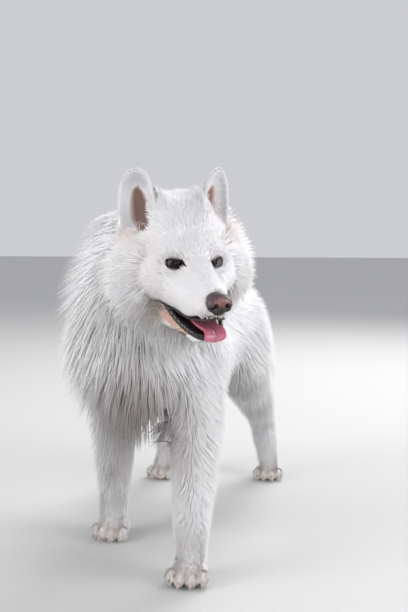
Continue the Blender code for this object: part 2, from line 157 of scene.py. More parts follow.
def normal_array(mesh):
    flat = np.empty(len(mesh.vertices) * 3, np.float32)
    mesh.vertex_normals.foreach_get("vector", flat)
    return flat.reshape(-1, 3).astype(float)


def triangle_array(mesh):
    mesh.calc_loop_triangles()
    flat = np.empty(len(mesh.loop_triangles) * 3, np.int32)
    mesh.loop_triangles.foreach_get("vertices", flat)
    return flat.reshape(-1, 3)


def put_attribute(mesh, name, values):
    """A number at each vertex, for a material to read."""
    attribute = mesh.attributes.new(name, "FLOAT", "POINT")
    attribute.data.foreach_set("value", np.asarray(values, np.float32))


def unit(vectors):
    return vectors / np.maximum(np.linalg.norm(vectors, axis=-1, keepdims=True), 1e-9)


def smoothstep(low, high, values):
    t = np.clip((values - low) / (high - low), 0, 1)
    return t * t * (3 - 2 * t)


# %% [markdown]
# ## The camera
# The photo was taken from about the height of the dog's face, a little to its left, with a lens that looks slightly
# down. The place of the horizon in the picture gives the tilt, and the lens is given as for a small film frame.

# %% Camera
CAMERA_FROM_BODY = Vector((0.4647, -1.793, 0.614))
CAMERA_TURN = radians(13.1)
HORIZON_ABOVE_MIDDLE = 65
LENS_IN_PIXELS = 850
CAMERA_DROP = atan(HORIZON_ABOVE_MIDDLE / LENS_IN_PIXELS)
PHOTO_LENS_MM = 50
PHOTO_TALL_MM = 36

bpy.ops.object.camera_add(location=BODY @ CAMERA_FROM_BODY, rotation=(pi / 2 - CAMERA_DROP, 0, CAMERA_TURN))
camera = bpy.context.object
camera.data.sensor_fit = "VERTICAL"
camera.data.sensor_height = PHOTO_TALL_MM
camera.data.lens = PHOTO_LENS_MM
scene.camera = camera
print("camera", [round(part, 3) for part in camera.location])

# %% [markdown]
# ## The body under the coat
# A shorn Samoyed is a lean dog. It is blocked out from round masses, as a sculptor does with clay, and a voxel remesh
# melts them into one skin. The head is blocked out in its own frame.

# %% Masses and limbs
flesh = []


def mass(at, radii, frame_of=BODY, tilt=0.0, into=None):
    bpy.ops.mesh.primitive_uv_sphere_add(segments=24, ring_count=14, radius=1)
    lump = bpy.context.object
    size = Matrix.Diagonal((*radii, 1))
    lump.matrix_world = frame_of @ Matrix.Translation(at) @ Matrix.Rotation(tilt, 4, "X") @ size
    (flesh if into is None else into).append(lump)


def limb(start, end, start_radius, end_radius, frame_of=BODY, into=None):
    """A tapered length with round ends."""
    start, end = frame_of @ Vector(start), frame_of @ Vector(end)
    along = end - start
    bpy.ops.mesh.primitive_cone_add(vertices=24, radius1=start_radius, radius2=end_radius, depth=along.length)
    length = bpy.context.object
    length.matrix_world = Matrix.Translation((start + end) / 2) @ along.to_track_quat("Z", "Y").to_matrix().to_4x4()
    (flesh if into is None else into).append(length)
    mass(start, (start_radius,) * 3, Matrix(), into=into)
    mass(end, (end_radius,) * 3, Matrix(), into=into)


# %% [markdown]
# ## Trunk and neck
# The ribcage is deep and narrow, the withers stand a little above it, and the neck rises steeply from the shoulders.
# Spheres drawn out along three axes are enough for that, because only the coat shows in the end.

# %% Trunk and neck
mass((-0.012, -0.115, 0.400), (0.108, 0.215, 0.112))  # ribcage
mass((-0.012, -0.140, 0.446), (0.088, 0.160, 0.078))  # withers
mass((0.000, 0.085, 0.424), (0.098, 0.250, 0.094))  # loin
mass((0.000, 0.225, 0.414), (0.098, 0.130, 0.104))  # rump
mass((-0.022, -0.215, 0.380), (0.102, 0.090, 0.102))  # forechest
limb((-0.018, -0.205, 0.470), (0.066, -0.345, 0.580), 0.108, 0.082)  # neck
for side, hip, knee in ((1, 0.235, 0.222), (-1, 0.215, 0.182)):
    mass((0.076 * side, hip, 0.386), (0.056, 0.100, 0.100))  # haunch
    limb((0.080 * side, hip, 0.350), (0.095 * side, knee, 0.292), 0.060, 0.046)  # thigh

print("trunk", len(flesh), "masses")

# %% [markdown]
# ## Legs and paws
# Each leg is a chain of tapered lengths from the paw up to the shoulder or the knee. A paw is a low pad with four
# toes before it. It is built in a frame of its own, so that every foot can point its own way.

# %% Legs and paws
PAWS = {
    "fore_left": (Vector((0.099, -0.343, 0)), radians(4)),
    "fore_right": (Vector((-0.112, -0.149, 0)), radians(-4)),
    "hind_left": (Vector((0.134, 0.362, 0)), radians(8)),
    "hind_right": (Vector((-0.134, 0.312, 0)), radians(-8)),
}
TOES = ((0.0295, -0.018, 0.0150), (0.0104, -0.0295, 0.0165), (-0.0104, -0.0295, 0.0165), (-0.0295, -0.018, 0.0150))


def paw_frame(name):
    at, turn = PAWS[name]
    return BODY @ Matrix.Translation(at) @ Matrix.Rotation(turn, 4, "Z")


def paw(name, wide):
    own = paw_frame(name)
    mass((0, 0.005, 0.019), (0.0285 * wide, 0.035, 0.0215), own)
    for across, ahead, up in TOES:
        mass((across * wide, ahead, up - 0.001), (0.0088, 0.0150, 0.0138), own, tilt=radians(18))


for name, side, elbow, shoulder in (
    ("fore_left", 1, (0.088, -0.255, 0.268), (0.060, -0.205, 0.385)),
    ("fore_right", -1, (-0.100, -0.136, 0.268), (-0.080, -0.165, 0.380)),
):
    at = PAWS[name][0]
    paw(name, 1.0)
    wrist = at + Vector((0.001 * side, 0.010, 0.094))
    limb(at + Vector((0.001 * side, 0.012, 0.036)), wrist, 0.0215, 0.0235)
    limb(wrist, elbow, 0.0230, 0.0380)
    limb(elbow, shoulder, 0.0400, 0.0620)

for name, side, knee in (("hind_left", 1, (0.097, 0.226, 0.290)), ("hind_right", -1, (-0.097, 0.186, 0.290))):
    at = PAWS[name][0]
    paw(name, 0.90)
    hock = at + Vector((-0.020 * side, 0.034, 0.148))
    limb(at + Vector((0, 0.010, 0.036)), hock, 0.0200, 0.0225)
    limb(hock, knee, 0.0225, 0.0430)
print("with legs", len(flesh), "masses")

# %% [markdown]
# ## The head
# The face carries the shortest coat, so the bare head is only a few millimetres smaller than the outline there, and
# much smaller at the cheeks, where the ruff stands out.

# %% Head
mass((0, 0.088, 0.020), (0.078, 0.072, 0.071), HEAD)  # skull
mass((0, 0.036, 0.009), (0.060, 0.043, 0.039), HEAD)  # brow
mass((0, 0.120, 0.000), (0.082, 0.062, 0.082), HEAD)  # back of the head
for side in (-1, 1):
    mass(mirrored((0.060, 0.078, -0.030), side), (0.038, 0.047, 0.054), HEAD)  # cheek
    mass(mirrored((0.046, 0.040, -0.025), side), (0.036, 0.045, 0.038), HEAD)  # cheekbone
    muzzle_side = mirrored((0.0245, 0.008, -0.040), side), mirrored((0.0108, -0.076, -0.0505), side)
    limb(*muzzle_side, 0.0295, 0.0150, HEAD)
    mass(mirrored((0.0225, -0.030, -0.0575), side), (0.0125, 0.043, 0.0180), HEAD)  # upper lip
    mass(mirrored((0.0130, -0.072, -0.0580), side), (0.0120, 0.018, 0.0115), HEAD)  # whisker pad
    jaw_side = mirrored((0.0320, 0.040, -0.0860), side), mirrored((0.0135, -0.060, -0.1065), side)
    limb(*jaw_side, 0.0205, 0.0088, HEAD)
limb((0, 0.014, -0.014), (0, -0.080, -0.0375), 0.0325, 0.0152, HEAD)  # bridge of the muzzle
mass((0, -0.084, -0.051), (0.019, 0.0145, 0.0135), HEAD)  # front of the upper lip
limb((0, 0.050, -0.093), (0, -0.058, -0.1070), 0.026, 0.0105, HEAD)  # underside of the jaw
mass((0, 0.090, -0.094), (0.056, 0.056, 0.048), HEAD)  # throat
print("with head", len(flesh), "masses")

# %% [markdown]
# ## Shape of an ear
# An ear is a thick, upright flap with a round tip, cupped forwards. Its outline is a short table of half widths from
# foot to tip, and one function gives the place of any point of the flap. The skin, the bare hollow and the fur of
# the ear all use it, so they stay together.

# %% Shape of an ear
EAR_BASE = Vector((0.0695, 0.074, 0.030))
EAR_TIP = Vector((0.0740, 0.0870, 0.1385))
EAR_OUTLINE = (
    (0.0, 0.030), (0.15, 0.037), (0.35, 0.0362), (0.54, 0.0345),
    (0.70, 0.0315), (0.82, 0.0270), (0.93, 0.0200), (1.0, 0.0075),
)
EAR_FUR = 0.0022
EAR_WALL = 0.0048
EAR_TURN = radians(24)
EAR_LEAN = 0.004
EAR_ACROSS, EAR_UP = 15, 17


def ear_point(side, u, t, lift=0.0):
    """A point of the flap: u from -1 to 1 across it, t from foot to tip, lift out of its hollow side."""
    half = float(np.interp(t, *zip(*EAR_OUTLINE))) - EAR_FUR - EAR_WALL / 2
    deep = (half + EAR_FUR) * (0.80 - 0.20 * t) - EAR_FUR
    angle = pi / 2 * (1 + u * 0.97)
    centre = mirrored(EAR_BASE, side).lerp(mirrored(EAR_TIP, side), t) + Vector((0, EAR_LEAN * sin(pi * t), 0))
    flat = Vector(((half - lift) * cos(angle), (deep - lift) * sin(angle), 0))
    return HEAD @ (centre + Matrix.Rotation(EAR_TURN * side, 4, "Z") @ flat)


# %% [markdown]
# ## Room in front of the ears
# The fur before an ear lies low, so that the hollow is open to the front, and the crown dips between two soft peaks.
# A Boolean would leave a hard rim there. So the points of the mesh are pressed out of two egg shapes, and the crown
# is raised and lowered in soft waves. The body and its coat outline both go through this.

# %% Room in front of the ears
SCOOPS = {
    -1: ((-0.072, 0.054, 0.080), (0.031, 0.046, 0.038)),
    1: ((0.072, 0.046, 0.080), (0.028, 0.035, 0.036)),
}
CROWN_DIP = 0.0065
CROWN_DIP_WIDE = 0.024
CROWN_PEAK_AT = 0.036
CROWN_PEAK_WIDE = 0.012


def crowned(obj, rise):
    """Presses the middle of the crown down a little and raises it beside the ears."""
    near = local_points(vertex_array(obj.data), HEAD)
    x, y, z = np.abs(near[:, 0]), near[:, 1], near[:, 2]
    middle = np.exp(-((x / CROWN_DIP_WIDE) ** 2)) * (np.abs(y - 0.06) < 0.12)
    beside = np.exp(-(((x - CROWN_PEAK_AT) / CROWN_PEAK_WIDE) ** 2)) * smoothstep(0.130, 0.100, y)
    change = rise * beside * smoothstep(0.030, 0.060, y) - CROWN_DIP * middle
    near[:, 2] += change * smoothstep(0.05, 0.08, z) * (z < 0.16)
    set_vertices(obj.data, world_points(near, HEAD))


def scooped(obj, spare):
    """Presses the flesh or the coat in, in front of each ear, so that the hollow of the ear lies open."""
    near = local_points(vertex_array(obj.data), HEAD)
    for middle, radii in SCOOPS.values():
        size = np.array(radii) + spare
        away = (near - middle) / size
        gap = np.linalg.norm(away, axis=1, keepdims=True)
        near = np.where(gap < 1, middle + away / np.maximum(gap, 0.02) * size, near)
    set_vertices(obj.data, world_points(near, HEAD))
    return obj


BODY_VOXEL = 0.0034
BODY_CROWN_RISE = 0.008
SCOOP_SPARE = 0.004

bare = joined(flesh, "bare")
apply_modifier(bare, "REMESH", mode="VOXEL", voxel_size=BODY_VOXEL)
crowned(bare, BODY_CROWN_RISE)
flesh = [scooped(bare, SCOOP_SPARE)]
print("body without ears", len(bare.data.polygons), "faces")

# %% [markdown]
# ## Ear flaps
# Each vertex of a flat grid is sent to its own place on the ear, and Solidify gives the bent grid the thickness of
# skin and gristle.

# %% Ear flaps
for side in (-1, 1):
    bpy.ops.mesh.primitive_grid_add(x_subdivisions=EAR_ACROSS - 1, y_subdivisions=EAR_UP - 1, size=2)
    flap = bpy.context.object
    for vertex in flap.data.vertices:
        across, up = vertex.co.x, (vertex.co.y + 1) / 2
        vertex.co = ear_point(side, across, up)
    apply_modifier(flap, "SOLIDIFY", thickness=EAR_WALL, offset=0)
    flesh.append(flap)
print("ear flaps", len(flap.data.polygons), "faces each")

# %% [markdown]
# ## Tail
# The tail itself is thin, and what makes it a plume is hair as long as a hand. It rises from the rump, curls forwards
# over the back and falls to the dog's right. A chain of tapered lengths follows its middle line.

# %% Tail
TAIL_LINE = (
    Vector((0.000, 0.300, 0.452)),
    Vector((0.004, 0.350, 0.528)),
    Vector((-0.004, 0.322, 0.602)),
    Vector((-0.030, 0.228, 0.632)),
    Vector((-0.066, 0.130, 0.612)),
    Vector((-0.104, 0.050, 0.560)),
)
TAIL_RADII = (0.034, 0.026, 0.022, 0.019, 0.016, 0.011)
for k in range(len(TAIL_LINE) - 1):
    limb(TAIL_LINE[k], TAIL_LINE[k + 1], TAIL_RADII[k], TAIL_RADII[k + 1])

print("tail", len(TAIL_LINE) - 1, "lengths")

# %% [markdown]
# ## One skin
# All parts are melted into one closed skin, so that no seam shows where a leg or an ear begins. Smoothing takes off
# the steps of the voxels, and Decimate keeps the mesh light.

# %% One skin
SKIN_VOXEL = 0.0024
SKIN_TRIANGLES = 120000

skin = joined(flesh, "skin")
apply_modifier(skin, "REMESH", mode="VOXEL", voxel_size=SKIN_VOXEL)
apply_modifier(skin, "SMOOTH", factor=0.5, iterations=8)
apply_modifier(skin, "TRIANGULATE")
apply_modifier(skin, "DECIMATE", ratio=min(1.0, SKIN_TRIANGLES / len(skin.data.polygons)))
floor_level = frame_box[0].z
skin_points = vertex_array(skin.data)
skin_points[:, 2] = np.maximum(skin_points[:, 2], floor_level)
set_vertices(skin.data, skin_points)
skin.data.shade_smooth()
print("skin", len(skin.data.polygons), "faces")

# %% [markdown]
# ## The outline that the coat fills
# The frame's own solids say where the tips of the fur end. Copies of them are merged into one smooth shell, which is
# measured against and then thrown away.

# %% Outline
BODY_NODES = (
    "trunk", "neck", "head", "jaw",
    "foreleg_left", "foreleg_right", "hind_leg_left", "hind_leg_right",
)
EAR_NODES = ("ear_left", "ear_right")
OUTLINE_SWELL = 0.0006
COAT_SWELL = 0.0060
CROWN_RISE = 0.0180
OUTLINE_VOXEL = 0.005
SMOOTH_ALL = 6
SMOOTH_BODY = 40
SMOOTH_TAIL = 10
FACE_CENTRE = (0.0, -0.03, -0.04)


def outline(name, nodes, rounds):
    """The given solids as one shell. Its body is smoothed for more rounds than its face and feet."""
    gathered = bmesh.new()
    for node in nodes:
        gathered.from_mesh(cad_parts[node].data)
    bmesh.ops.remove_doubles(gathered, verts=gathered.verts, dist=1e-5)
    mesh = bpy.data.meshes.new(name)
    gathered.to_mesh(mesh)
    gathered.free()
    shell = bpy.data.objects.new(name, mesh)
    scene.collection.objects.link(shell)
    set_vertices(mesh, vertex_array(mesh) + normal_array(mesh) * OUTLINE_SWELL)
    apply_modifier(shell, "REMESH", mode="VOXEL", voxel_size=OUTLINE_VOXEL)
    if "head" in nodes:
        scooped(shell, 0.0)
    apply_modifier(shell, "SMOOTH", factor=0.5, iterations=SMOOTH_ALL)
    points = vertex_array(mesh)
    from_face = np.linalg.norm(local_points(points, HEAD) - FACE_CENTRE, axis=1)
    share = smoothstep(0.10, 0.14, from_face) * smoothstep(0.05, 0.09, points[:, 2])
    group = shell.vertex_groups.new(name="body")
    for index in np.nonzero(share > 0.02)[0].tolist():
        group.add([index], float(share[index]), "REPLACE")
    apply_modifier(shell, "SMOOTH", factor=0.5, iterations=rounds, vertex_group="body")
    share *= smoothstep(0.19, 0.25, from_face)
    set_vertices(mesh, vertex_array(mesh) + normal_array(mesh) * (COAT_SWELL * share)[:, None])
    if "head" in nodes:
        crowned(shell, CROWN_RISE)
    apply_modifier(shell, "TRIANGULATE")
    print(name, len(shell.data.polygons), "faces")
    return shell


body_outline = outline("body_outline", BODY_NODES, SMOOTH_BODY)
tail_outline = outline("tail_outline", ("tail",), SMOOTH_TAIL)

# %% [markdown]
# ## Rounding out the face
# Separate masses leave creases between brow, cheek and muzzle that no furry face shows. So the skin above the lips is
# drawn out to just below the outline, everywhere but round the eyes and ears.

# %% Draw the face out
FACE_DEPTH = 0.0030
CHEEK_DEPTH = 0.0100
LONGEST_MOVE = 0.05


def tree_of(obj):
    """A search tree over a mesh, for rays and nearest points."""
    return BVHTree.FromPolygons(vertex_array(obj.data).tolist(), triangle_array(obj.data).tolist())


outline_tree = tree_of(body_outline)
points = vertex_array(skin.data)
near = local_points(points, HEAD)
around_eye = (
    (np.abs(near[:, 0]) - EYE_SPREAD) / 0.021,
    (near[:, 1] - EYE_DEPTH + 0.010) / 0.030,
    near[:, 2] / 0.016,
)
from_eye = np.sqrt(sum(part**2 for part in around_eye))
ear_near = smoothstep(0.034, 0.050, np.abs(near[:, 0])) * smoothstep(0.020, 0.042, near[:, 2])
share = smoothstep(0.090, 0.060, near[:, 1]) * smoothstep(-0.064, -0.050, near[:, 2]) * (1 - ear_near)
share *= smoothstep(0.75, 1.35, from_eye) * (np.abs(near[:, 0]) < 0.12) * (near[:, 1] > -0.080) * (near[:, 2] < 0.13)
for index in np.nonzero(share > 0.001)[0]:
    at, out, ignored, gap = outline_tree.find_nearest(points[index].tolist())
    wanted = FACE_DEPTH + CHEEK_DEPTH * float(smoothstep(-0.010, 0.070, near[index, 1]))
    inside = (at - Vector(points[index])).dot(out)
    move = (inside - wanted) * share[index]
    if 0 < move < LONGEST_MOVE:
        points[index] += np.array(out) * move
set_vertices(skin.data, points)
face_group = skin.vertex_groups.new(name="face")
for index in np.nonzero(share > 0.001)[0].tolist():
    face_group.add([index], 1.0, "ADD")
apply_modifier(skin, "SMOOTH", factor=0.5, iterations=12, vertex_group="face")
skin.vertex_groups.clear()
print("skin drawn out at", int((share > 0.001).sum()), "points")

# %% [markdown]
# ## Where the features of the face run
# Lips, lids, fur and colours all have to agree, so the lines they follow are written once. Both lips start at the
# corner of the mouth, far back under the eye, and the upper one hangs lowest halfway along.

# %% Lines of the face
UPPER_LIP = (
    (0.0480, 0.0370, -0.0545),
    (0.0420, 0.0120, -0.0655),
    (0.0355, -0.0200, -0.0750),
    (0.0280, -0.0540, -0.0770),
    (0.0185, -0.0830, -0.0725),
    (0.0070, -0.0930, -0.0695),
    (0.0000, -0.0945, -0.0670),
)
LOWER_LIP = (
    (0.0475, 0.0365, -0.0560),
    (0.0420, 0.0080, -0.0725),
    (0.0370, -0.0200, -0.0850),
    (0.0310, -0.0440, -0.0935),
    (0.0215, -0.0620, -0.1000),
    (0.0105, -0.0725, -0.1025),
    (0.0000, -0.0755, -0.1025),
)
EYE_AIM_OUT = radians(22)
LID_SLANT = radians(5)
LID_HALF_WIDTH = {1: 0.0104, -1: 0.0166}
LID_SHIFT = {1: 0.0056, -1: -0.0006}
INNER_CORNER = 0.0034
LID_UPPER = 0.0068
LID_LOWER = 0.0053
LID_FLATTER = 0.72


def smooth_line(points, count):
    """A Catmull-Rom curve through the points."""
    points = np.array(points, float)
    ends = np.vstack([2 * points[0] - points[1], points, 2 * points[-1] - points[-2]])
    line = []
    for s in np.linspace(0, len(points) - 1 - 1e-9, count):
        k, t = int(s), s - int(s)
        a, b, c, d = ends[k : k + 4]
        line.append(b + 0.5 * t * (c - a + t * (2 * a - 5 * b + 4 * c - d + t * (3 * (b - c) + d - a))))
    return np.array(line)


def both_sides(half):
    """A line from the left corner round the front to the right corner."""
    left = np.array(half)
    right = left[::-1][1:] * (-1, 1, 1)
    return np.vstack([left, right])


def eye_frame(side):
    """x across one eye, y into the head, z up, with the slant of its lids."""
    place = Matrix.Translation(((EYE_SPREAD + LID_SHIFT[side]) * side, EYE_DEPTH, 0))
    aim = Matrix.Rotation(EYE_AIM_OUT * side, 4, "Z")
    slant = Matrix.Rotation(-LID_SLANT * side, 4, "Y")
    return HEAD @ place @ aim @ slant


EYE_INNER = {1: 0.0140, -1: 0.0222}
EYE_OUTER = {1: 0.0140, -1: 0.0180}
EYE_TALL = 0.0092


def round_eye(points, side):
    """Below 1 inside the bare almond round an eye, which runs to a point at both corners."""
    eye = local_points(points, eye_frame(side))
    reach = np.where(eye[:, 0] * side < 0, EYE_INNER[side], EYE_OUTER[side])
    gap = np.abs(eye[:, 0] / reach) ** 1.7 + np.abs(eye[:, 2] / EYE_TALL) ** 1.5
    return np.where(np.abs(eye[:, 1]) < 0.03, gap, 9.0)


def at_lip(line, y, column):
    """The lip's own width (column 0) or height (column 2) at this distance along the muzzle."""
    line = np.array(sorted(line, key=lambda point: point[1]))
    return np.interp(y, line[:, 1], line[:, column])


def mouth_mask(head_points, head_normals):
    """1 inside the mouth, where the skin is bare and wet."""
    x, y, z = np.abs(head_points[:, 0]), head_points[:, 1], head_points[:, 2]
    wide = at_lip(UPPER_LIP, y, 0)
    high, low = at_lip(UPPER_LIP, y, 2), at_lip(LOWER_LIP, y, 2)
    between = smoothstep(0.000, 0.002, high - z) * smoothstep(-0.003, 0.000, z - low)
    roof = smoothstep(0.25, 0.5, -head_normals[:, 2]) * smoothstep(0.030, 0.024, z - high)
    bed = smoothstep(0.35, 0.6, head_normals[:, 2]) * smoothstep(-0.008, -0.003, z - low)
    bed = bed * smoothstep(0.0, 0.002, high - z)
    inside = smoothstep(0.001, 0.004, wide - x) * smoothstep(0.040, 0.030, y) * smoothstep(-0.104, -0.098, y)
    return inside * np.clip(between + roof + bed, 0, 1)


print("upper lip", len(UPPER_LIP), "points, lower lip", len(LOWER_LIP), "points")


# %% [markdown]
# ## Eyelids
# The lids are a torus whose ring is pressed into an almond and laid on the eyeball. Its outer rim runs out into the
# skin, found by looking straight back from in front, so no step shows round the eye.

# %% Eyelids
LID_REACH = 0.0085
LID_ROUND, LID_ACROSS = 72, 12
skin_tree = tree_of(skin)


def eyelids(side):
    """The lids of one eye: on the eyeball along the inner rim, on the skin along the outer one."""
    word = "left" if side > 0 else "right"
    own = eye_frame(side)
    bpy.ops.mesh.primitive_torus_add(
        major_segments=LID_ROUND, minor_segments=LID_ACROSS, major_radius=1, minor_radius=0.25
    )
    ring = joined([bpy.context.object], f"eyelids_{word}")
    back = own.to_3x3() @ Vector((0, 1, 0))
    dark = []
    for index, vertex in enumerate(ring.data.vertices):
        around = 2 * pi * (index // LID_ACROSS) / LID_ROUND
        across = 2 * pi * (index % LID_ACROSS) / LID_ACROSS
        outward, forward = (1 + cos(across)) / 2, sin(across)
        lid = LID_UPPER if sin(around) > 0 else LID_LOWER
        corner = abs(cos(around)) ** 6
        reach = LID_REACH * outward
        x = (LID_HALF_WIDTH[side] + reach * (0.75 if outward else 1)) * cos(around)
        x -= side * INNER_CORNER * max(0.0, -side * cos(around)) ** 5
        z = (lid * abs(sin(around)) ** (1.45 if sin(around) > 0 else 1.15) + reach) * (1 if sin(around) > 0 else -1)
        ball = EYE_RADIUS + 0.0006 + 0.0022 * outward
        on_ball = -max(ball**2 - (LID_FLATTER * x) ** 2 - z * z, (0.30 * EYE_RADIUS) ** 2) ** 0.5
        hit = skin_tree.ray_cast(own @ Vector((x, -0.06, z)), back)[0]
        on_skin = (own.inverted() @ hit).y if hit else on_ball
        sink = 0.0010 * smoothstep(0.7, 1.0, outward) + 0.0010 * corner
        blend = float(smoothstep(0.30, 0.95, outward))
        y = on_ball * (1 - blend) + on_skin * blend + sink - 0.0011 * forward * (1 - outward * 0.6)
        vertex.co = own @ Vector((x, y, z))
        dark.append(1 - float(smoothstep(0.34, 0.62, outward)))
    put_attribute(ring.data, "rim", dark)
    ring.data.shade_smooth()
    select_only(ring)
    bpy.ops.object.mode_set(mode="EDIT")
    bpy.ops.mesh.select_all(action="SELECT")
    bpy.ops.mesh.normals_make_consistent(inside=False)
    bpy.ops.object.mode_set(mode="OBJECT")
    return ring


lids = {side: eyelids(side) for side in (-1, 1)}
print("eyelids", len(lids[1].data.polygons), "faces each")

# %% [markdown]
# ## Eyes
# An eyeball is a sphere with the clear front of it standing slightly proud. The angle from the middle of the pupil is
# kept on each vertex, and the iris is painted from it.

# %% Eyes
GAZE_OUT = radians(9)
CORNEA_ANGLE = radians(34)
CORNEA_BULGE = 0.0009


def eyeball(side):
    word = "left" if side > 0 else "right"
    bpy.ops.mesh.primitive_uv_sphere_add(segments=48, ring_count=32, radius=EYE_RADIUS, location=EYES[side])
    ball = joined([bpy.context.object], f"eyeball_{word}")
    gaze = (HEAD.to_3x3() @ Matrix.Rotation(GAZE_OUT * side, 3, "Z") @ Vector((0, -1, 0.02))).normalized()
    points = vertex_array(ball.data)
    out = unit(points - np.array(EYES[side]))
    angle = np.arccos(np.clip(out @ np.array(gaze), -1, 1))
    bulge = CORNEA_BULGE * np.clip(1 - (angle / CORNEA_ANGLE) ** 2, 0, 1)
    set_vertices(ball.data, points + out * bulge[:, None])
    put_attribute(ball.data, "from_pupil", angle)
    ball.data.shade_smooth()
    return ball


eyeballs = {side: eyeball(side) for side in (-1, 1)}
print("eyeballs", len(eyeballs[1].data.polygons), "faces each")

# %% [markdown]
# ## Pits for the eyes
# A real eye lies in a socket. Where the eyeball shows, the skin is pushed back behind it, which a Boolean could do as
# well, but moving the points keeps the skin closed and its faces even.

# %% Sculpt the skin round the eyes
PIT_HALF_WIDTH = 0.0175
PIT_HALF_HEIGHT = 0.0110
PIT_DEPTH = 0.004

points = vertex_array(skin.data)
for side in (-1, 1):
    near = local_points(points, eye_frame(side))
    almond = 1 - (near[:, 0] / PIT_HALF_WIDTH) ** 2 - (near[:, 2] / PIT_HALF_HEIGHT) ** 2
    pit = smoothstep(0.0, 0.5, almond) * (np.abs(near[:, 1]) < 0.022)
    near[:, 1] += pit * np.maximum(PIT_DEPTH - near[:, 1], 0)
    points = np.where(pit[:, None] > 0, world_points(near, eye_frame(side)), points)
set_vertices(skin.data, points)
print("pits pressed in at", [tuple(round(part, 3) for part in eye_frame(side).translation) for side in (-1, 1)])

# %% [markdown]
# ## Lips
# Each lip is a bevelled curve that follows its line. The lower one is a black, wet band with a row of small bumps near
# the corner, as dogs have.

# %% Lips
def tube(line, radii, name):
    """A round cord of changing thickness along a line of the head, turned into a mesh."""
    curve = bpy.data.curves.new(name, "CURVE")
    curve.dimensions = "3D"
    curve.bevel_depth = 1.0
    curve.bevel_resolution = 3
    curve.use_fill_caps = True
    spline = curve.splines.new("POLY")
    spline.points.add(len(line) - 1)
    for point, at, radius in zip(spline.points, world_points(line, HEAD), radii):
        point.co = (*at, 1)
        point.radius = radius
    obj = bpy.data.objects.new(name, curve)
    scene.collection.objects.link(obj)
    select_only(obj)
    bpy.ops.object.convert(target="MESH")
    obj = bpy.context.object
    obj.data.shade_smooth()
    return obj


LIP_POINTS = 150
LIP_TALL = 1.55
UPPER_LIP_INSET = 0.950
UPPER_LIP_RADIUS = 0.0019


def flattened(obj, line, tall):
    """Makes a cord taller than it is thick, each point about its own place on the line."""
    tree = KDTree(len(line))
    for k, at in enumerate(line):
        tree.insert(at, k)
    tree.balance()
    near = local_points(vertex_array(obj.data), HEAD)
    middle = np.array([tree.find(at)[0] for at in near.tolist()])
    near[:, 2] = middle[:, 2] + (near[:, 2] - middle[:, 2]) * tall
    set_vertices(obj.data, world_points(near, HEAD))


lower_line = smooth_line(both_sides(LOWER_LIP), LIP_POINTS)
along = np.abs(lower_line[:, 0])
steps = np.arange(LIP_POINTS)
bumps = 1 + 0.10 * (np.sin(steps * 1.31) + 0.6 * np.sin(steps * 2.17 + 1)) * smoothstep(0.022, 0.030, along)
lower_radii = (0.0033 - 0.0012 * smoothstep(0.038, 0.048, along)) * bumps
lower_lip = tube(lower_line, lower_radii, "lower_lip")
flattened(lower_lip, lower_line, LIP_TALL)

upper_line = smooth_line(both_sides(UPPER_LIP), LIP_POINTS) + (0, 0.0015, 0.0012)
upper_line[:, 0] *= UPPER_LIP_INSET
upper_lip = tube(upper_line, np.full(LIP_POINTS, UPPER_LIP_RADIUS), "upper_lip")
print("lips", len(lower_lip.data.polygons), "and", len(upper_lip.data.polygons), "faces")

# %% [markdown]
# ## Tongue
# A grid is laid along the middle line of the tongue, with a shallow groove and raised edges, then given its thickness
# and smoothed.

# %% Tongue
TONGUE_LINE = (
    (0, 0.016, -0.0770),
    (0, -0.015, -0.0840),
    (0.0010, -0.045, -0.0900),
    (0.0028, -0.065, -0.0915),
    (0.0034, -0.0780, -0.0920),
    (0.0018, -0.0865, -0.0955),
    (-0.0006, -0.0895, -0.1005),
    (-0.0020, -0.0900, -0.1055),
)
TONGUE_HALF_WIDTH = 0.0186
TONGUE_THICK = 0.0052
TONGUE_ACROSS, TONGUE_ALONG = 15, 41


def tongue():
    """The tongue as one closed blade, along its middle line."""
    middle = smooth_line(TONGUE_LINE, TONGUE_ALONG)
    forward = unit(np.gradient(middle, axis=0))
    up = np.cross(forward, (1.0, 0, 0))
    up = unit(up * np.sign(up[:1, 2:3]))
    bpy.ops.mesh.primitive_grid_add(x_subdivisions=TONGUE_ACROSS - 1, y_subdivisions=TONGUE_ALONG - 1, size=2)
    blade = bpy.context.object
    groove = []
    for vertex in blade.data.vertices:
        u, row = vertex.co.x, round((vertex.co.y + 1) / 2 * (TONGUE_ALONG - 1))
        t = row / (TONGUE_ALONG - 1)
        tip = max(0.0, (t - 0.80) / 0.20)
        half = TONGUE_HALF_WIDTH * (0.92 + 0.08 * t) * (1 - tip**2.6 * 0.93)
        curl = 0.0030 * u * u * (1 - tip) + 0.0006 * (1 - tip)
        crease = -0.0016 * max(0.0, 1 - abs(u) / 0.30) ** 1.5
        at = Vector(middle[row]) + Vector((half * u, 0, 0)) + Vector(up[row]) * (curl + crease)
        vertex.co = HEAD @ at
        groove.append(max(0.0, 1 - abs(u) / 0.45))
    put_attribute(blade.data, "groove", groove)
    apply_modifier(blade, "SOLIDIFY", thickness=TONGUE_THICK, offset=0)
    apply_modifier(blade, "SUBSURF", levels=1, render_levels=1)
    blade = joined([blade], "tongue_blade")
    blade.data.shade_smooth()
    return blade


tongue_blade = tongue()
print("tongue", len(tongue_blade.data.polygons), "faces")

# %% [markdown]
# ## Teeth
# A dog that pants shows little more than the tips of its upper front teeth. Each is a tapered cone with a round end,
# and the voxel remesh joins them at the gum.

